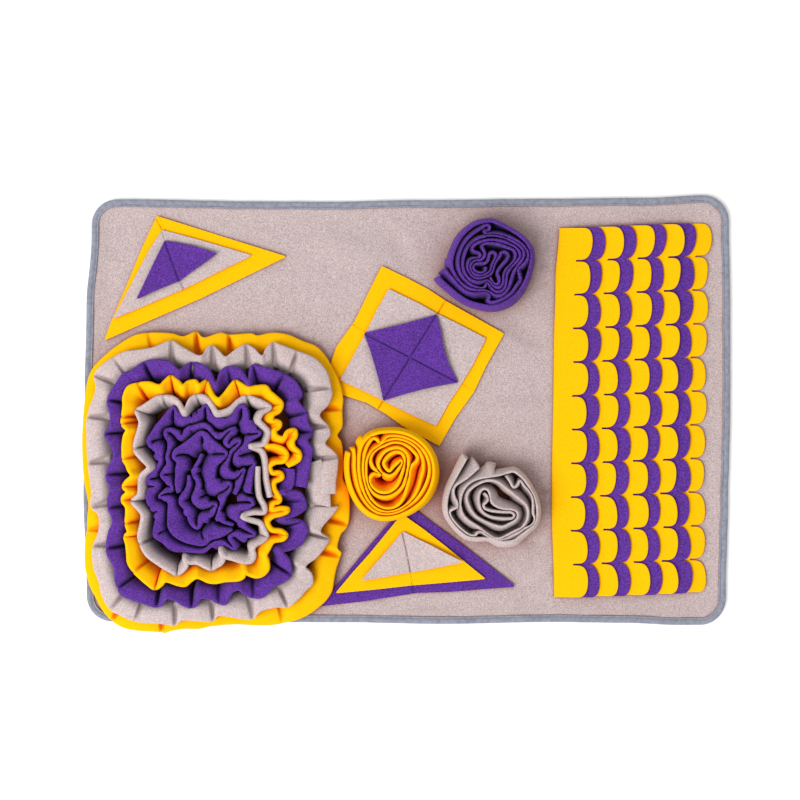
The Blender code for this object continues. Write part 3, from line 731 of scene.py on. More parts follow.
def make_strip(strip):
    """One strip: straight along its sewn edge, in uneven lobes along its free edge."""
    west = STRIP_WEST + strip * STRIP_PITCH
    reach, phase = STRIP_TIPS[strip]
    colour = "purple" if strip % 2 else "yellow"
    depth, square, slit = LOBES_CUT[colour]
    turns = np.linspace(-1, 1, LOBE_STEPS)
    turns = np.sign(turns) * np.abs(turns) ** LOBE_BIAS * pi / 2
    ys, tips, lifts = [], [], []
    for row in range(LOBES - 1, -1, -1):
        middle = PANEL_NORTH - (row + 0.5) * LOBE_PITCH + PANEL_SKEW * (west + reach - STRIP_WEST)
        lean = LOBE_LEAN[0] * sin(LOBE_LEAN[1] * row + phase)
        curl = LEAST_CURL + LOBE_CURL[0] * abs(sin(LOBE_CURL[1] * row + 2 * phase))
        y = middle + (LOBE_PITCH / 2 - slit) * np.sin(turns)
        tip = west + reach + eased(PANEL_DRIFT, y) + LOBE_REACH[0] * sin(LOBE_REACH[1] * row + phase)
        bulge = 1 - np.abs(np.cos(turns)) ** square
        ys.extend(y)
        tips.extend(tip - depth * bulge - lean * np.sin(turns))
        lifts.extend(np.abs(np.cos(turns)) * curl)
    ys, tips, lifts = np.array(ys), np.array(tips), np.array(lifts)
    start = west + eased(PANEL_DRIFT, ys)
    shares = 1 - (1 - np.linspace(0, 1, STRIP_COLUMNS)) ** STRIP_BIAS
    half = FLEECE / 2
    x = start[:, None] + (tips - half * STRIP_SHOULDER - start)[:, None] * shares
    y = np.broadcast_to(ys[:, None], x.shape)
    under = strip_base(strip, x) + lifts[:, None] * shares ** 3
    top = under + FLEECE + STRIP_PUFF * grain(x, y, STRIP_PUFF_SIZE, phase)
    rows = [np.stack((x, y, top), axis=-1)]
    edge = []
    for inward, drop in STRIP_RIM:
        edge.append(np.column_stack((tips - half * inward, ys, top[:, -1] - half * drop)))
    rows.append(np.stack(edge, axis=1))
    rows.append(np.stack((x, y, under), axis=-1)[:, ::-1])
    sections = np.concatenate(rows, axis=1)
    faces = turned(swept_faces(*sections.shape[:2], capped=True))
    name = "scallop_strip_{}_{}".format(strip + 1, colour)
    piece = cloth_piece(name + "_cut", sections.reshape(-1, 3), faces, FLEECES[colour])
    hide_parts(name)


for strip in range(STRIPS):
    make_strip(strip)


# The ruffles: nine strips of fleece, each doubled along its free edge and gathered on a seam round
# the block, one inside another. Each leans out over the next one out. Where its edge swings out
# the cloth sinks into a sharp crease, and where it swings in it stands in a soft ridge.
BLOCK_X, BLOCK_Y = -0.2127, -0.0803
RUFFLE_STEP = 1.2
RUFFLE_LEVELS = 13
RUFFLE_BIAS = 0.85
SECTION_STEP = 0.5
SEAM_Z = 3.4
KNOT_STEPS = 10
SEAM_WAVE = 28.0
WAVE_RISE = 1.3
CROWD_FADE = 14.0
EDGE_DROOP = 0.35
RIM_TURNS = (30, 60, 90, 120, 150)
# A crease is sharp on its open side. On its lee, the side that lies in this direction, it is narrow
# at the free edge and widens under that. Round it lies a broad hollow, less on the open side.
CREASE_LEE = (0.5, 0.87)
CREASE_CRISP = 1.8
CREASE_EDGE = 2.4
CREASE_DEEP = 10.0
CREASE_FLARE = 0.5
CREASE_SINK = 2.2
CREASE_FADE = 0.8
CREASE_BROAD = 15.0
BROAD_FADE = 0.5
BROAD_OPEN = 0.4
CREASE_RISE = 2.5
CREASE_ROOT = 0.4
RIDGE_WIDE = 8.0
# The cloth is never quite smooth: how high its lumps are, and how far apart.
PUFF = 0.35
PUFF_SIZE = 17
SWAY = 0.9
SWAY_SIZE = 23
# Columns, in millimetres: the colour, the strip's section as (out from the seam, height), the
# doubled cloth's thickness, how short a wave has to be for the seam to lose it, whether the strip's
# ends are joined, the round area (x, y, reach, share) where the strip is so crowded that it stands
# on edge, how high its creases stay to clear the strip under it, and the free edge seen from above,
# from the block's middle. A point of the edge may have the depth of a crease there, or less than 0
# for a ridge.
RUFFLES = (
    ("yellow", ((0, 3.4), (1, 9), (5, 13.5), (13, 15), (24, 12)), 4.4, 24, True, None, 0,
     ((-138, 46), (-135, 93), (-131, 117), (-125, 128), (-114, 139), (-99, 151), (-82, 161), (-67, 164, 2),
      (-40, 163), (-29, 160, -1), (-15, 165, 5), (-7, 159, -1), (12, 164), (20, 162, 5), (46, 163),
      (50, 161, -1), (67, 164), (84, 162), (100, 155), (115, 149), (126, 137), (132, 126), (139, 113),
      (144, 92), (143, 81, 4), (143, 62), (138, 53, -1), (142, 46), (144, 32), (144, 16), (144, 6),
      (149, -5), (151, -21), (149, -44, 4), (145, -50), (142, -53), (138, -68, -1), (142, -74),
      (141, -78, 4), (136, -93), (134, -104), (132, -115), (126, -125), (116, -134), (106, -141),
      (95, -146), (78, -150, 2), (67, -152), (45, -152), (29, -151), (2, -153), (-12, -156), (-27, -156),
      (-41, -158), (-50, -161), (-53, -160, 4), (-62, -159), (-78, -158), (-94, -155), (-106, -148, 5),
      (-111, -143), (-117, -135), (-123, -123), (-129, -112), (-133, -99), (-135, -87), (-135, -64),
      (-133, -49, 3), (-132, -33), (-131, -21), (-136, 6))),
    ("taupe", ((0, 3.4), (1, 14), (4, 21), (12, 28), (24, 26.5)), 4.4, 24, False, None, 18,
     ((121, 28), (126, 17), (131, 2), (131, -15), (133, -26, 5), (140, -22, 4), (135, -30), (121, -49, -2),
      (130, -58, 6), (127, -64), (117, -77), (105, -87, -2), (111, -94), (112, -106), (105, -113),
      (96, -123), (85, -131, 4), (72, -131), (57, -135), (47, -144, 7), (35, -143), (11, -140, -1),
      (5, -146, 7), (-13, -145), (-28, -145), (-36, -151, 7), (-45, -149), (-56, -148), (-79, -146, 3),
      (-95, -139), (-105, -134, 3), (-114, -118), (-117, -104), (-123, -87), (-124, -65, 6), (-119, -55),
      (-116, -40, -1), (-118, -31), (-126, -24, 6), (-125, -7), (-129, 23, 6), (-130, 49), (-130, 73, 6),
      (-120, 104, -1), (-123, 118, 6), (-110, 132), (-102, 137, 2), (-90, 143), (-76, 145), (-58, 148),
      (-40, 155, 7), (-27, 148), (-7, 139, -2), (-1, 148), (4, 150, 7), (12, 144), (19, 138, -2),
      (26, 143), (33, 148), (40, 151, 7), (49, 147), (58, 139, -2), (62, 147), (69, 153, 7), (79, 150),
      (95, 144, 4), (111, 138), (120, 131), (128, 120), (132, 104, 4), (133, 97), (129, 86), (120, 75, -2),
      (129, 63, 6), (131, 54), (126, 45, -2), (133, 38), (139, 30, 6), (139, 17), (137, 3), (137, -9))),
    ("purple", ((0, 3.4), (0.5, 16), (3, 26), (8, 33.5), (18, 36.5)), 4.8, 20, False, (115, 0, 62, 0.95), 0,
     ((94, 18), (94, 6), (91, -2), (84, -6, -2), (99, -6), (105, -15, 3), (106, -24), (98, -30),
      (85, -35, -3), (101, -37, 4), (108, -45), (105, -56), (101, -63), (90, -68), (82, -70, -2),
      (89, -80), (90, -95, 5), (82, -103), (71, -108), (60, -119), (49, -120, 3), (42, -117), (34, -111),
      (27, -114, -2), (20, -127), (12, -126, 3), (4, -121), (-6, -120, -2), (-11, -128), (-17, -131, 7),
      (-25, -128), (-37, -121), (-42, -120, -2), (-48, -128), (-54, -130, 7), (-64, -127), (-79, -122),
      (-91, -117), (-96, -110, 7), (-98, -102), (-99, -87), (-106, -75), (-108, -67, 7), (-105, -49),
      (-100, -37, -2), (-106, -24, 5), (-106, -14), (-103, -2, -2), (-107, 5), (-108, 12, 6), (-103, 24),
      (-99, 31, -2), (-103, 44), (-110, 55, 7), (-103, 64, -1), (-103, 74), (-107, 91, 7), (-103, 100),
      (-96, 111), (-89, 120, -1), (-81, 123), (-68, 132, 6), (-61, 134), (-45, 134), (-37, 131),
      (-29, 124, -3), (-22, 129), (-16, 132, 7), (1, 126), (11, 110, -4), (16, 124), (22, 127, 3),
      (34, 126), (45, 113, -4), (48, 129, 3), (60, 127), (73, 123), (83, 119, 6), (94, 112), (99, 105),
      (102, 97), (98, 91, -2), (107, 78, 6), (108, 69), (113, 57, 6), (108, 48, -2), (113, 40), (112, 31),
      (110, 19), (108, 8), (107, -2))),
    ("yellow", ((0, 3.4), (0.5, 17), (3, 27), (9, 36), (17, 40.5)), 5.6, 16, False, (84, -3, 68, 0.45), 0,
     ((67, 53), (66, 45), (75, 44), (84, 40), (88, 33, 2), (85, 26), (75, 24), (70, 20), (73, 14),
      (81, 14, 2), (83, 9), (75, 4), (75, -3), (80, -11), (80, -16, 2), (74, -18), (73, -24), (82, -23),
      (89, -25, 2), (86, -30), (73, -33), (68, -38), (72, -45), (82, -47), (87, -52, 2), (84, -57),
      (73, -60), (68, -68), (65, -74), (67, -80), (67, -89), (61, -96), (53, -98), (45, -95),
      (42, -92, -2), (40, -98), (35, -101), (20, -102), (10, -104), (2, -103), (-9, -98, -2), (-16, -102),
      (-22, -107), (-30, -106), (-43, -102, -1), (-48, -107), (-55, -111, 6), (-65, -104), (-74, -96),
      (-78, -92, 4), (-84, -82), (-85, -71), (-86, -62), (-88, -53, 3), (-84, -49, -2), (-87, -40, 5),
      (-86, -30), (-86, -22, -1), (-91, -16, 3), (-90, -11), (-85, -6, -2), (-90, -1, 2), (-87, 5),
      (-80, 11, -3), (-84, 17), (-86, 22), (-90, 28, 3), (-90, 36), (-90, 42), (-88, 54), (-85, 59, -2),
      (-91, 65, 4), (-91, 73, 6), (-89, 85), (-89, 95), (-84, 106), (-73, 110, 5), (-61, 111),
      (-49, 108, -1), (-44, 113), (-38, 118, 5), (-30, 113), (-24, 108, -2), (-19, 112), (-11, 113),
      (-7, 109, -2), (1, 113, 5), (4, 108), (9, 97), (14, 94, -3), (18, 98), (25, 108), (30, 113, 5),
      (37, 110), (45, 106, -1), (53, 107), (64, 107), (69, 101), (76, 95), (82, 88, 2), (80, 80), (73, 75),
      (72, 70), (80, 68), (80, 64), (75, 60), (76, 55), (83, 53), (88, 60), (95, 61, 2), (97, 55),
      (94, 48), (95, 42), (101, 35, 2), (101, 28), (95, 23), (88, 20))),
    ("taupe", ((0, 3.4), (0.5, 20), (1.6, 31), (4, 39.5), (8, 43.3)), 5.4, 14, False, (66, 6, 58, 0.45), 0,
     ((58, 21), (58, 5), (60, -11), (65, -22), (64, -29), (52, -30), (42, -32, -2), (52, -34), (60, -37),
      (64, -44), (67, -54, 2), (62, -59), (54, -64), (52, -68), (53, -75), (50, -81), (44, -83), (37, -82),
      (28, -79), (21, -77), (17, -71, -2), (20, -79), (17, -84), (12, -87), (6, -90, 4), (2, -89),
      (-4, -86), (-10, -83), (-16, -83), (-21, -79, -2), (-19, -85), (-22, -90), (-27, -94), (-31, -96, 6),
      (-38, -92), (-51, -84), (-64, -74), (-71, -62, 6), (-73, -53), (-70, -39), (-69, -30, -1),
      (-74, -24), (-81, -16, 6), (-73, -8), (-72, 8), (-70, 13), (-62, 20, -3), (-69, 27), (-72, 30),
      (-78, 39, 6), (-71, 68, -1), (-73, 73), (-76, 81, 6), (-69, 85), (-60, 91), (-52, 96), (-45, 97, 3),
      (-35, 96), (-28, 91), (-22, 82, -4), (-17, 94), (-10, 98, 3), (1, 96), (8, 88), (13, 81, -3),
      (24, 84), (34, 93), (43, 97, 5), (51, 95), (61, 91), (70, 84), (62, 77), (59, 70), (65, 63),
      (69, 57), (67, 50), (63, 43), (50, 42, -2), (61, 39), (65, 31), (66, 21), (67, 8), (71, -11))),
)
# Standing yellow cloth uses a copy of the yellow fleece whose painted orange shade is deeper and reaches
# further into its folds, standing in for light bounced within them and passing through the cloth.
YELLOW_FLEECE_WIDE_PAINTED_SHADE = napped("yellow_fleece_standing_painted_shade", YELLOW, **YELLOW_NAP, hollow=(0.98, 0.20, 0.002),
                        reach=0.022)
STANDING = {"yellow": YELLOW_FLEECE_WIDE_PAINTED_SHADE, "purple": PURPLE_FLEECE, "taupe": TAUPE_FLEECE}


def blend(low, high, start, end, at):
    """The way from low to high, between the times start and end."""
    return (low * (end - at) + high * (at - start)) / (end - start)


def smooth_path(knots, closed, step):
    """Even stations on a centripetal curve through charted points, and the run to each point."""
    count = len(knots)
    if closed:
        knots = np.vstack((knots[-1:], knots, knots[:2]))
    else:
        knots = np.vstack((2 * knots[:1] - knots[1:2], knots, 2 * knots[-1:] - knots[-2:-1]))
    spots = []
    for index in range(len(knots) - 3):
        four = knots[index:index + 4]
        times = np.append(0, np.cumsum(np.sqrt(np.linalg.norm(np.diff(four, axis=0), axis=1))))
        at = np.linspace(times[1], times[2], KNOT_STEPS, endpoint=False)[:, None]
        sides = [blend(four[spot], four[spot + 1], times[spot], times[spot + 1], at) for spot in range(3)]
        before = blend(sides[0], sides[1], times[0], times[2], at)
        after = blend(sides[1], sides[2], times[1], times[3], at)
        spots.append(blend(before, after, times[1], times[2], at))
    spots.append(knots[-2:-1])
    spots = np.vstack(spots)
    runs = np.append(0, np.cumsum(np.linalg.norm(np.diff(spots, axis=0), axis=1)))
    even = np.linspace(0, runs[-1], round(runs[-1] / step) + 1)
    if closed:
        even = even[:-1]
    path = np.column_stack([np.interp(even, runs, spots[:, axis]) for axis in (0, 1)])
    return path, runs[::KNOT_STEPS][:count], runs[-1]


def evened(path, spread, closed):
    """The path with its waves shorter than about the spread taken out."""
    reach = int(3 * spread)
    weights = np.exp(-0.5 * (np.arange(-reach, reach + 1) / spread) ** 2)
    weights /= weights.sum()
    if closed:
        rows = np.arange(-reach, len(path) + reach) % len(path)
        long = path[rows]
    else:
        reach = min(reach, len(path) - 1)
        weights = weights[len(weights) // 2 - reach:len(weights) // 2 + reach + 1]
        weights /= weights.sum()
        before = 2 * path[0] - path[reach:0:-1]
        after = 2 * path[-1] - path[-2:-reach - 2:-1]
        long = np.vstack((before, path, after))
    return np.column_stack([np.convolve(long[:, axis], weights, "valid") for axis in (0, 1)])


def slope(grid, closed):
    """The change from station to station along the first axis."""
    if closed:
        return np.roll(grid, -1, axis=0) - np.roll(grid, 1, axis=0)
    return np.gradient(grid, axis=0)


def unit(vectors):
    """The vectors' directions, each of length 1."""
    return vectors / np.maximum(np.linalg.norm(vectors, axis=-1), 1e-9)[..., None]


def thick_cloth(middle, half, closed, dips=0):
    """The points and faces of a closed sheet round a grid of mid-surface points, in millimetres.
    Its last row of levels is the free edge, and gets a round rim. Dips are how far creases pull
    each point of the grid down."""
    side = unit(np.cross(slope(middle, closed), np.gradient(middle, axis=1)))
    tip = unit(middle[:, -1] - middle[:, -2])
    dips = np.broadcast_to(dips, middle.shape[:2])
    half = np.broadcast_to(half, middle.shape[:2])
    rim = []
    for turn in RIM_TURNS:
        reach = side[:, -1] * cos(radians(turn)) + tip * sin(radians(turn))
        rim.append(middle[:, -1] + half[:, -1:] * reach)
    sections = np.concatenate((middle + side * half[..., None], np.stack(rim, axis=1),
                               (middle - side * half[..., None])[:, ::-1]), axis=1)
    rim_dips = np.repeat(dips[:, -1:], len(rim), axis=1)
    sections[..., 2] -= np.concatenate((dips, rim_dips, dips[:, ::-1]), axis=1)
    sections[..., 2] = np.maximum(sections[..., 2], SEAM_Z)
    count, size = sections.shape[:2]
    levels = middle.shape[1]
    faces = swept_faces(count, size, closed)
    if not closed:
        cap = [(level, level + 1, size - 2 - level, size - 1 - level) for level in range(levels - 1)]
        cap.append(tuple(range(levels - 1, size - levels + 1)))
        last = (count - 1) * size
        faces += cap
        faces += [tuple(last + corner for corner in reversed(corners)) for corners in cap]
    points = sections.reshape(-1, 3) * MM
    first, second, third = (points[[face[corner] for face in faces]] for corner in range(3))
    inside = points.mean(axis=0)
    if np.einsum("ij,ij->", first - inside, np.cross(second - inside, third - inside)) < 0:
        faces = [face[::-1] for face in faces]
    return points, faces


def crease_dips(depths, runs, station, length, closed, shares, lee):
    """How far the creases and ridges pull down each of a strip's stations, at each level."""
    deepening = np.clip((1 - shares) / CREASE_FLARE, 0, 1)
    narrow = CREASE_EDGE + (CREASE_DEEP - CREASE_EDGE) * deepening
    dips = np.zeros((len(station), len(shares)))
    for run, depth in zip(runs, depths):
        ahead = station - run
        if closed:
            ahead = (ahead + length / 2) % length - length / 2
        away = np.abs(ahead)[:, None]
        sheltered = (ahead * lee[np.argmin(away)] > 0)[:, None]
        wide = np.where(sheltered, narrow, CREASE_CRISP)
        broad = np.where(sheltered, 1.0, BROAD_OPEN)
        if depth > 0:
            bite = CREASE_SINK * np.clip(1 - away / wide, 0, 1) * (1 - CREASE_FADE * shares ** 4)
            hollow = np.clip(1 - away / CREASE_BROAD, 0, 1) ** 2 * (1 - BROAD_FADE * shares ** 4)
            bite = bite + broad * hollow
        else:
            bite = np.clip(1 - away / RIDGE_WIDE, 0, 1) ** 2 * shares
        dips = dips + depth * bite * np.minimum(1, shares * CREASE_RISE)
    return dips


def make_ruffle(number, colour, section, thick, spread, closed, crowd, lowest, rows):
    """One gathered strip, from its seam by way of a shoulder to its wavy free edge."""
    rows = charted(rows, 3)
    edge, runs, length = smooth_path(rows[:, :2], closed, RUFFLE_STEP)
    base = evened(edge, spread / RUFFLE_STEP, closed)
    along = unit(slope(base, closed))
    x, y = base.T
    turning = -1 if np.dot(x, np.roll(y, -1)) - np.dot(y, np.roll(x, -1)) < 0 else 1
    outward = np.column_stack((along[:, 1], -along[:, 0])) * turning
    swing = np.einsum("ij,ij->i", edge - base, outward)
    profile, _, slant = smooth_path(np.array(section), False, SECTION_STEP)
    shares = np.linspace(0, 1, RUFFLE_LEVELS) ** RUFFLE_BIAS
    out, height = (np.interp(shares * (len(profile) - 1), np.arange(len(profile)), values)
                   for values in profile.T)
    breadth = np.ones(len(edge))
    if crowd:
        crowd_x, crowd_y, reach, share = crowd
        near = np.clip((reach - np.hypot(edge[:, 0] - crowd_x, edge[:, 1] - crowd_y)) / CROWD_FADE, 0, 1)
        breadth = 1 - (1 - share) * near * near * (3 - 2 * near)
    out = (out - out[-1]) * breadth[:, None] - thick / 2
    waves = 1 - spread / SEAM_WAVE * (1 - shares ** WAVE_RISE) * breadth[:, None]
    flat = base[:, None] + outward[:, None] * out[..., None] + (edge - base)[:, None] * waves[..., None]
    lift = height - EDGE_DROOP * (swing * breadth)[:, None] * shares ** 2
    station = np.arange(len(edge)) * length / (len(edge) if closed else len(edge) - 1)
    lee = along @ np.array(CREASE_LEE)
    dips = crease_dips(rows[:, 2], runs, station, length, closed, shares, lee)
    puff = PUFF * grain(flat[..., 0], flat[..., 1], PUFF_SIZE, number)
    puff = puff + SWAY * grain(station, 0 * station, SWAY_SIZE, number)[:, None] * (1 - shares / 2)
    middle = np.dstack((flat, np.maximum(lift + puff * shares, SEAM_Z + thick / 2 * shares)))
    middle[:, 0, 2] = SEAM_Z
    middle += np.array((BLOCK_X, BLOCK_Y, 0)) / MM
    clear = np.maximum(middle[..., 2] - thick / 2 - lowest, 0)
    dips = np.where(shares > CREASE_ROOT, np.minimum(dips, clear), dips)
    points, faces = thick_cloth(middle, thick / 2, closed, dips)
    name = "ruffle_{}_{}".format(number, colour)
    piece = cloth_piece(name + "_strip", points, faces, STANDING[colour])
    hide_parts(name)


for number, ruffle in enumerate(RUFFLES, 1):
    make_ruffle(number, *ruffle)


# The centre: the last purple strip, which winds inward in four stretches and is so crowded that
# its doubled edge stands up in fat round folds, pressed together with only dark lines between.
CENTRE_STEP = 1.2
CENTRE_TOP = 45.0
CENTRE_REACH = 13.0
# The folds' tops rise and fall. Columns: by how much, over what length, and a shift of the seed.
CENTRE_SWELLS = ((1.6, 34, 0), (1.0, 13, 3.0))
BEND = 4.0
ROOM_STEP = 0.5
ROOM_SOFT = 3
# Each fold has a round crest, slopes down from it on both sides, and turns steeply down at its
# edge. The edge is this far from the crest on the outer side, and at the next crest on the inner.
FOLD_EDGE = 2.5
FOLD_SLOPE = 0.42
FOLD_ROUND = 1.8
FOLD_FALL = 1.9
FOLD_DEEP = 4.0
FOLD_TURN = 6
FOLD_LEAST = 1.2
FOLD_GAP = 0.3
FOLD_FOOT = 0.75
FOLD_STATIONS = (0, 0.2, 0.38, 0.55, 0.7, 0.82, 0.92, 1)
# The crests, in millimetres from the block's middle, the stretches in order from the outside in.
CENTRE = (
    ((46, -7.5), (48, 7), (50, 18.5), (51, 24.5), (43, 26), (35.5, 27.5), (32, 32), (35.5, 38),
     (41, 43), (48, 49.5), (57.5, 56.5), (49, 60), (44.5, 66), (43.5, 76.5), (40.5, 84), (37, 85),
     (32.5, 81.5), (28.5, 75), (23, 71), (14.5, 69), (7.5, 72), (3, 79.5), (0.5, 85.5), (-3.5, 82.5),
     (-6, 75), (-15, 71), (-22.5, 70), (-28, 74), (-31.5, 80), (-34, 83.5), (-38.5, 79.5), (-46, 70),
     (-51.5, 64), (-56.5, 56), (-61.5, 48), (-58.5, 42), (-52.5, 41), (-48.5, 36.5), (-48.5, 26),
     (-53.5, 17), (-61.5, 7.5), (-56.5, 2.5), (-52.5, 0), (-57.5, -4), (-61.5, -10.5), (-60, -18.5),
     (-55.5, -22.5), (-49, -25), (-51.5, -34), (-53.5, -43.5), (-54, -52), (-45.5, -58.5),
     (-35.5, -66.5), (-21.5, -68), (-2, -68.5), (3.5, -64), (9, -60), (15.5, -59), (22.5, -62),
     (30.5, -66), (27.5, -60), (25.5, -53.5), (29, -50.5), (40.5, -53), (51.5, -51), (46.5, -46.5),
     (39.5, -40), (34, -33.5), (33, -27.5), (36, -22.5), (44, -20.5), (50, -19), (47, -14),
     (39.5, -12.5), (33, -12.5)),
    ((30.5, -8.5), (34.5, -1), (37.5, 7), (39, 13.5), (40.5, 18), (33.5, 13), (25.5, 14.5), (22, 20),
     (23.5, 27.5), (27, 36.5), (32.5, 42), (36, 47.5), (29.5, 46), (24.5, 42.5), (21.5, 46),
     (22.5, 51.5), (27, 58), (31, 61.5), (24, 59), (18, 55), (13, 53), (7.5, 57), (3.5, 62.5),
     (-2, 65.5), (-13.5, 63), (-19, 61.5), (-22, 56), (-26, 52), (-30, 56.5), (-36, 60), (-42, 59),
     (-42.5, 54), (-39, 47.5), (-39, 39.5), (-41, 31), (-40, 23.5), (-44, 17.5), (-47, 12), (-44, 7.5),
     (-38.5, 2.5), (-35.5, -1.5), (-42.5, -4.5), (-49, -11.5), (-44.5, -11), (-39, -14),
     (-38.5, -22.5), (-39, -33), (-38.5, -42.5), (-33.5, -51), (-24.5, -57), (-14, -60), (-4.5, -61.5),
     (0.5, -60), (4, -56), (13.5, -53), (22, -49), (27.5, -45)),
    ((29, -41), (22.5, -39), (16, -36), (13.5, -30.5), (14.5, -24), (17.5, -17.5), (20.5, -10),
     (25.5, -3), (25.5, 3.5), (22.5, 0.5), (16.5, -1.5), (11, 1.5), (8.5, 8.5), (9, 17), (11, 23),
     (16.5, 28), (22.5, 34), (15, 41.5), (6.5, 48.5), (0.5, 55), (-5, 57), (-15.5, 49.5), (-25, 42.5),
     (-32.5, 37), (-34, 30.5), (-28.5, 26), (-30.5, 19), (-31, 10), (-31, 0.5), (-29, -7)),
    ((-17.5, 11.5), (-18.5, 2.5), (-21, -4.5), (-26, -10.5), (-27, -17), (-23, -22.5), (-18.5, -27.5),
     (-17.5, -34.5), (-14.5, -40.5), (-8.5, -44), (-5, -38.5), (-1, -33.5), (6, -30.5), (9.5, -24.5),
     (11, -19), (2, -18), (-6, -17), (-10, -13), (-8.5, -5.5), (-6.5, 1.5), (-8.5, 7.5), (-13, 11.5),
     (-12, 19), (-7.5, 26.5), (-4, 34)),
)


def room_beside(strands, own, step, reach, outer=None):
    """How far the cloth at each of a strand's stations can spread to its left and right: half way
    to its own next bend or to the next strand. With a room given for the outer side, a strand has
    that on the side of the strands before it, and the rest of the gap on the side of those after."""
    tree = KDTree(sum(len(strand) for strand in strands))
    tags = []
    for number, strand in enumerate(strands):
        for station, (x, y) in enumerate(strand):
            tree.insert((x, y, 0), len(tags))
            tags.append((number, station))
    tree.balance()
    along = unit(slope(strands[own], False))
    across = np.column_stack((along[:, 1], -along[:, 0]))
    rooms = np.full((len(along), 2), float(reach))
    for station, spot in enumerate(strands[own]):
        for side in (0, 1):
            neighbour = -1
            for out in np.arange(2 * ROOM_STEP, reach, ROOM_STEP):
                x, y = spot + across[station] * out * (1, -1)[side]
                number, nearest = tags[tree.find((x, y, 0))[1]]
                if number != own or abs(nearest - station) * step > BEND:
                    rooms[station, side] = out - ROOM_STEP
                    neighbour = number
                    break
            if outer and neighbour < own:
                rooms[station, side] = min(rooms[station, side], outer)
            elif outer and neighbour > own:
                rooms[station, side] = max(rooms[station, side], 2 * rooms[station, side] - outer)
    window = 2 * ROOM_SOFT + 1
    soft = np.pad(rooms, ((ROOM_SOFT, ROOM_SOFT), (0, 0)), "edge")
    soft = np.column_stack([np.convolve(side, np.full(window, 1 / window), "valid") for side in soft.T])
    return np.minimum(rooms, soft), across


def make_centre(number, strands, own):
    """One stretch: the fold's section carried along its charted crest, as wide as the folds beside
    it leave room for."""
    path = strands[own]
    rooms, across = room_beside(strands, own, CENTRE_STEP, CENTRE_REACH, FOLD_EDGE)
    left, right = (np.maximum(rooms[:, side:side + 1], FOLD_LEAST) - FOLD_GAP for side in (1, 0))
    x, y = path.T
    top = CENTRE_TOP + sum(swell * grain(x, y, size, number + shift) for swell, size, shift in CENTRE_SWELLS)
    shares = np.array(FOLD_STATIONS)
    outs, downs = [], []
    for room in (left, right):
        out = room * shares
        round_off = np.hypot(out, FOLD_ROUND) - FOLD_ROUND
        turn_down = FOLD_FALL * np.minimum(room, FOLD_DEEP) * shares ** FOLD_TURN
        outs.append(out)
        downs.append(FOLD_SLOPE * round_off + turn_down)
    outs = np.hstack((-left * FOLD_FOOT, -outs[0][:, ::-1], outs[1][:, 1:], right * FOLD_FOOT))
    downs = np.hstack((downs[0][:, ::-1], downs[1][:, 1:]))
    flat = path[:, None] + across[:, None] * outs[..., None]
    height = np.full(outs.shape, SEAM_Z)
    height[:, 1:-1] = np.maximum(top[:, None] - downs, SEAM_Z + 1)
    sections = np.dstack((flat, height)) * MM + np.array((BLOCK_X, BLOCK_Y, 0))
    faces = turned(swept_faces(*sections.shape[:2], capped=True))
    name = "ruffle_{}_purple".format(number)
    piece = cloth_piece(name + "_strip", sections.reshape(-1, 3), faces, PURPLE_FLEECE)
    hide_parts(name)


centre_paths = [smooth_path(np.array(rows, float), False, CENTRE_STEP)[0] for rows in CENTRE]
for own in range(len(CENTRE)):
    make_centre(len(RUFFLES) + 1 + own, centre_paths, own)


# The rosettes: each a narrow fleece strip doubled on itself, rolled up loosely and sewn down on
# end, so that its edges stand up in a tight uneven spiral with folds pushed into its turns.
ROSETTE_STEP = 1.3
ROSETTE_FREE = 14.0
ROSETTE_LEVELS = 8
# The roll's width by height, as a share of its width at the top: drawn in where it is sewn, and
# full in its lower half.
ROSETTE_BELLY = ((0.0, 0.87), (0.42, 1.035), (1.0, 1.0))
# Beside nothing, a wall is a little fuller than its cloth. Between others it fills what room there
# is, and at its edge it is as thin as its cloth or, in a tight turn, thinner.
ROSETTE_OPEN = 12.5
ROSETTE_FULLER = 0.8
EDGE_GAP = 0.2
EDGE_LEAST = 0.9
SPREAD_CURVE = 0.8
LEAN_FADE = 5.0
ROSETTE_RISE = 1.1
ROSETTE_RISE_SIZE = 31
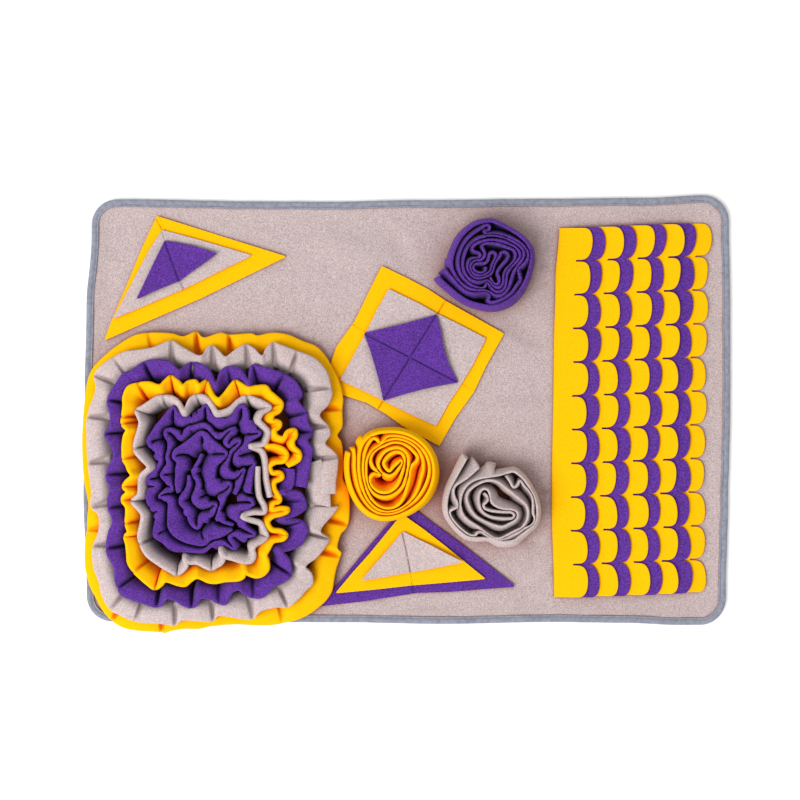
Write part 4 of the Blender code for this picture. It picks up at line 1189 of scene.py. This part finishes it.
# Columns: the colour, the middle in metres, the height and the doubled cloth's thickness in
# millimetres, the packing, the leans, and then in millimetres from the middle the way of each
# strand's top edge. Packing is how far down from the edge, as a share of the height, the turns
# touch, and the most room that a wall spreads into. A lean is a heading and its spread, in degrees,
# and two distances from the middle between which the walls' feet stand further out than their
# edges, or further in, and how far.
ROSETTES = (
    ("purple", (0.0891, 0.1555), 36.5, 3.3, (0.70, 5.0), ((160, 40, 38, 60, 4.5), (-45, 50, 38, 60, 6.0)), (
        ((-5.7, -3.2), (-5.7, -6.3), (-9, -8.9), (-13.7, -8.8), (-17.7, -6.3), (-18.6, -3.2),
         (-16.9, -0.4), (-12.2, 0.6), (-7.4, 0.7), (-3.9, 2.9), (-2.3, 6.9), (-1.3, 10.6), (1.9, 12.4),
         (5, 10.6), (4.8, 6.9), (2.4, 2.1), (0.7, -2.6), (-1.1, -7.4), (-5.3, -10.4), (-11.1, -12.3),
         (-16.6, -11.4), (-20.4, -7.9), (-21.9, -3.2), (-20.5, 1.1), (-16.4, 3.8), (-11.1, 4),
         (-7.6, 6.9), (-6.5, 11.1), (-8.2, 15.3), (-9.5, 18.7), (-7.1, 21.2), (-0.5, 21.9), (7.9, 20.6),
         (16.4, 17.7), (23.3, 14.8), (26, 10), (24.9, 4.8), (20.6, -0.5), (15.5, -6.3), (13.1, -12.7),
         (13, -19), (10.9, -23.6), (6.7, -25.2), (2.1, -23.1), (-0.7, -19.4), (-3.9, -17.1),
         (-7.9, -18.5), (-14.3, -19.6), (-21.7, -16.9), (-27, -11.1), (-29.8, -3.7), (-29.6, 4.2),
         (-27, 13.2), (-22.7, 20.6), (-16.9, 25.6), (-9.5, 28.6), (0.5, 30), (10.6, 28.6), (20.1, 25.2),
         (28.6, 20.4), (33.8, 14.8), (34.9, 9), (32.3, 3.2), (27.5, -3), (23.8, -9.5), (21.4, -16.9),
         (18.8, -24.9), (14.8, -30.7), (9, -33.7), (3.2, -32.8), (-1.6, -29.6), (-7.4, -27.9),
         (-15.9, -27.8), (-24.9, -25.4), (-32.8, -19), (-38.6, -10.6), (-41.7, -1.6), (-40.4, 9.5),
         (-37, 19), (-31.7, 28.6), (-24.3, 36.5), (-15.9, 42.3), (-6.3, 44.9), (0, 45.5), (9.5, 42.3),
         (21.2, 36), (31.2, 29.1), (38.6, 21.7), (42.6, 13.2), (42.8, 4.2), (40.7, -6.3), (37, -16.9),
         (30.7, -28), (21.7, -37), (11.1, -42.8), (0.5, -44.9), (-11.6, -43.4), (-23.8, -39.7),
         (-34.9, -32.8), (-44.9, -24.3), (-52.9, -16.9), (-55.5, -13.2)),
        ((-0.7, -14.4), (1.4, -17.8), (3.2, -20.4), (5.8, -21.7), (8.5, -19.6), (8.4, -14.8),
         (6.6, -9.8), (8.5, -5.1), (12.7, 0), (16.9, 4.8), (18.5, 9), (15.1, 12.7), (10.9, 11.8),
         (9.3, 8.1), (6.3, 3.7), (3.9, -1.1), (2.6, -6.3), (-0.2, -10.9), (-5.3, -13.5), (-11.6, -15.4),
         (-18, -14.3), (-22.4, -10), (-25, -4.2), (-24.3, 1.6), (-21.2, 5.5), (-16.4, 6.7), (-12.7, 7),
         (-11.3, 9.5), (-13.2, 11.8), (-17.2, 12.7), (-19.7, 15.5), (-18.8, 18.7), (-14.8, 21.7),
         (-7.4, 24.5), (0.5, 25.6), (9.5, 24.5), (18.5, 21.6), (25.9, 17.8), (30.2, 12.7), (30.6, 7.4),
         (27, 2.1), (21.7, -3.5), (17.4, -10), (16.3, -17.4), (15.1, -24.3), (11.6, -28.6), (6.3, -29.6),
         (1.4, -27), (-1.8, -22.7), (-4, -19.7), (-5.3, -22.4), (-7.9, -25.1), (-13.2, -25),
         (-20.6, -22.5), (-27.5, -16.9), (-32.8, -9), (-35, 0), (-33.8, 10), (-30.1, 19.6),
         (-24.3, 27.5), (-16.9, 33.8), (-9.5, 38.6), (-4.4, 41.3), (-1.6, 39.7), (-2.1, 36.5),
         (-6.9, 34.6), (-5.8, 32.5), (1.1, 32.8), (10.6, 31.7), (21.2, 28), (30.1, 23.3), (36.5, 16.9),
         (39.4, 10), (37.9, 3.2), (33.3, -2.1), (29.3, -5.6), (30.1, -11.1), (31.3, -16.9),
         (27.5, -22.2), (23.8, -28), (18, -33.8), (10.6, -38.1), (3.7, -40.5), (-1.1, -40.5),
         (-3.2, -38.1), (-1.6, -34.6), (-3.7, -31.4), (-9.5, -30.7), (-17.4, -31.7), (-25.4, -30.1),
         (-33.3, -24.1), (-41.2, -15.3), (-47.1, -8.2), (-49.2, -5.6)),
    )),
    ("yellow", (-0.0170, -0.0672), 36.5, 3.7, (0.32, 6.5),
     ((-90, 50, 14, 38, -6.0), (-20, 35, 38, 60, 5.0)), (
        ((-44.6, 22.2), (-45.8, 13.7), (-45.7, 1.1), (-43.4, -11.6), (-38.6, -23.8), (-31.7, -34.4),
         (-22.7, -42.3), (-12.2, -46.3), (-0.5, -46.5), (11.6, -43.4), (23.3, -37.5), (33.3, -29.1),
         (40.7, -18), (44.7, -5.8), (45.3, 6.3), (42.6, 18), (36.8, 27.7), (28.6, 35.6), (18.5, 41.2),
         (7.4, 44), (-3.7, 44.3), (-14.3, 43), (-23.3, 39.1), (-29.6, 32.5), (-33, 23.8), (-34.2, 13.7),
         (-34.1, 2.6), (-32.5, -8.5), (-28.8, -20.1), (-23.3, -30.1), (-15.3, -37.5), (-5.8, -40.5),
         (4.8, -39.1), (14.8, -33.8), (22.9, -25.9), (28.6, -15.9), (31.7, -5.3), (34.2, 4.8),
         (33.5, 15.3), (29.4, 24), (22.2, 30.9), (13.2, 35.3), (3.7, 36.6), (-5.3, 34.3), (-13.2, 29.6),
         (-20.6, 24), (-25.1, 16.4), (-26.4, 7.4), (-26, -4.2), (-23.3, -14.5), (-17.4, -22),
         (-9.5, -25.1), (-0.8, -24.2), (6.9, -20.1), (12.5, -13.7), (15.3, -5.8), (17.2, 2.6),
         (18.6, 11.1), (17.8, 19), (13.7, 24.6), (7.4, 27.3), (0, 26.4), (-6.3, 23.3), (-11.1, 17.4),
         (-13.7, 10.6), (-11.6, 3.7), (-6.9, -1.1), (-1.1, -2.7), (4.2, 0), (8.8, 5.8), (11.6, 11.3),
         (10.5, 14.1), (6.3, 10.8), (2.1, 6.8), (-1.9, 2.7), (-5.5, 5.8), (-7.8, 10.6), (-4.8, 16.4),
         (0, 20.8), (5.8, 22.9), (11.4, 21.2), (14.3, 15.5), (13.7, 7.4), (11.3, -1.1), (8.5, -9),
         (4.2, -15.3), (-2.6, -19.6), (-10.6, -19.9), (-17.4, -16.4), (-21.8, -10.6), (-22, -4.5),
         (-18.2, -0.5), (-11.3, -1.3), (-15, 2.3), (-19.4, 7.1), (-21.7, 13.4), (-19.8, 20.1),
         (-14.5, 25.4), (-6.6, 29.4), (1.8, 32.6), (10.4, 32.1), (17.9, 28.6), (23.8, 23.3),
         (28.3, 17.2), (27.1, 12.7), (22.9, 9.1), (20.7, 3.2), (19.7, -4.8), (17.3, -13.7),
         (14.5, -22.7), (10.6, -30.1), (3.9, -35.6), (-4.8, -36.9), (-13.2, -34.2), (-20.3, -27.5),
         (-25.1, -18.5), (-28.2, -8.5), (-29.8, 2.6), (-29.4, 13.7), (-27.6, 23.3), (-23.9, 31.7),
         (-19.2, 37), (-15.3, 36.2), (-11.8, 32.4), (-7.4, 35.5), (-3.7, 39.1), (3.2, 40), (12.7, 38.7),
         (22.7, 34.6), (31, 28.2), (37, 20.1), (40.2, 10.6), (40.5, 0.5), (38.1, -9), (33.8, -18),
         (27, -27.5), (17.4, -35.4), (7.2, -41), (-3.7, -43.3), (-14, -41.7), (-22.4, -36.3),
         (-29.6, -27.2), (-34.7, -15.9), (-37.6, -4.2), (-38.9, 7.4), (-38.9, 18), (-39.8, 26.6)),
    )),
    ("taupe", (0.0902, -0.1008), 34.5, 2.9, (0.45, 11.0),
     ((-78, 42, 34, 60, 9.0), (100, 40, 26, 60, 7.0), (35, 40, 10, 30, 8.0)), (
        ((-8.5, 12.5), (-5, 9), (-4.2, 5.8), (-6.3, 2.6), (-9, 0), (-7.4, -3.7), (-2.1, -5.8),
         (5.3, -6.9), (13.7, -7.4), (20.6, -7.9), (23.8, -10.6), (22.2, -13.7), (15.9, -14.5),
         (7.4, -14.1), (-1.1, -12.7), (-7.4, -9.5), (-11.8, -4.8), (-13.7, 1.6), (-14, 8.5),
         (-12.2, 14.3), (-8.5, 17.2), (-4.2, 15.9), (-2.1, 11.6), (-1.3, 6.3), (1.1, 1.6), (6.3, -2.1),
         (13.7, -4.2), (21.2, -4.8), (26.4, -6.9), (27.8, -11.6), (24.9, -16.4), (18.5, -20.1),
         (11.6, -23.1), (4.2, -22.2), (-3.7, -19.2), (-11.1, -15.7), (-17.4, -11.6), (-21.9, -5.8),
         (-25.1, 0.5), (-26.9, 7.4), (-25.1, 13.7), (-20.6, 18.5), (-14.3, 22.5), (-7.4, 25.4),
         (0, 26.1), (6.9, 24), (14.3, 18.5), (22.2, 12.2), (30.7, 5.3), (36.5, -0.5), (38.6, -7.4),
         (37.3, -15.9), (32.3, -23.3), (24.3, -27.8), (15.9, -32), (8.5, -35.2), (2.1, -34.7),
         (-4.2, -31), (-10.6, -26), (-18, -21.2), (-25.4, -16.2), (-30.7, -10.4), (-33.2, -3.2),
         (-33.4, 5.3), (-31.4, 13.4), (-27.2, 20.1), (-20.6, 25.4), (-12.2, 28.6), (-2.1, 30.4),
         (7.4, 31.9), (15.9, 34.3), (23.3, 35.6), (30.1, 31.2), (36, 24.9), (41.2, 16.9), (45.8, 7.9),
         (48.1, -2.1), (48.4, -11.6), (45.5, -20.6), (38.1, -27), (30.7, -32.8), (23.3, -37.9),
         (14.8, -39.1), (5.3, -38.1), (-4.2, -35.4), (-14.8, -35.4), (-25.4, -33.8), (-33.8, -28),
         (-41.2, -20.1), (-46.5, -11.6), (-48.3, -2.6), (-47.4, 7.9), (-44.2, 18.5), (-38.8, 28.6),
         (-32.8, 39.7), (-27.2, 49.7)),
        ((-13.7, 40.2), (-19.6, 34.9), (-26.4, 29.1), (-33.3, 24.5), (-38.6, 20.6), (-40.9, 15.3),
         (-39.9, 8.5), (-37, 2.6), (-36.8, -1.9), (-41.2, -4.4), (-44.4, -6.7), (-43.4, -12.2),
         (-38.1, -19.6), (-31.2, -26.4), (-23.8, -31.5), (-18, -32.3), (-14.5, -28.9), (-10.6, -28.6),
         (-6.3, -32), (0, -35.5), (8.5, -37), (15.9, -35.4), (23.3, -31.7), (29.6, -28.6), (36, -24.3),
         (41.2, -21.7), (44.6, -17.8), (45.3, -13.7), (43.7, -8.5), (43.7, 1.1), (42.6, 8.5),
         (39.4, 14.5), (34.4, 20.1), (29.9, 25.9), (27.3, 21.4), (23.3, 18.6), (19, 25.4), (15.1, 30.9)),
    )),
)


def make_rosette(colour, middle, height, thick, packing, leans, strands):
    """One rolled strip: its strands' walls, from their sewn edge to their round top edge."""
    heights = np.linspace(0, 1, ROSETTE_LEVELS)
    belly = np.polyval(np.polyfit(*np.array(ROSETTE_BELLY).T, 2), heights)
    touching, most_room = packing
    swell = np.clip((1 - heights) / touching, 0, 1) ** SPREAD_CURVE
    paths = [smooth_path(np.array(rows), False, ROSETTE_STEP)[0] for rows in strands]
    points, faces = np.zeros((0, 3)), []
    for own, path in enumerate(paths):
        rooms, across = room_beside(paths, own, ROSETTE_STEP, ROSETTE_FREE)
        beside_nothing = rooms > ROSETTE_OPEN
        rooms = np.where(beside_nothing, thick / 2 + ROSETTE_FULLER, np.minimum(rooms, most_room))
        edge = np.clip(rooms.min(axis=1) - EDGE_GAP, EDGE_LEAST, thick / 2)[:, None]
        right, left = (edge + np.clip(rooms[:, side:side + 1] - FOLD_GAP - edge, 0, None) * swell
                       for side in (0, 1))
        x, y = path.T
        away, heading = np.hypot(x, y), np.degrees(np.arctan2(y, x))
        foot = np.zeros_like(x)
        for lean_heading, spread, inner, outer, lean in leans:
            turn = (heading - lean_heading + 180) % 360 - 180
            within = np.clip((away - inner) / LEAN_FADE, 0, 1) * np.clip((outer - away) / LEAN_FADE, 0, 1)
            foot += lean * within * np.exp(-(turn / spread) ** 2)
        top = height - thick / 2 + ROSETTE_RISE * grain(x, y, ROSETTE_RISE_SIZE, own + 1.0)
        grow = belly + (foot / np.maximum(away, LEAN_FADE))[:, None] * (1 - heights)
        rise = SEAM_Z + (top - SEAM_Z)[:, None] * heights
        walls = np.dstack((x[:, None] * grow, y[:, None] * grow, rise))
        walls[..., :2] += across[:, None] * ((right - left) / 2)[..., None]
        walls += np.array((middle[0] / MM, middle[1] / MM, 0))
        more, more_faces = thick_cloth(walls, (right + left) / 2, False)
        faces += shifted(more_faces, len(points))
        points = np.vstack((points, more))
    name = "rosette_" + colour
    piece = cloth_piece(name + "_roll", points, faces, STANDING[colour])
    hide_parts(name)


for rosette in ROSETTES:
    make_rosette(*rosette)
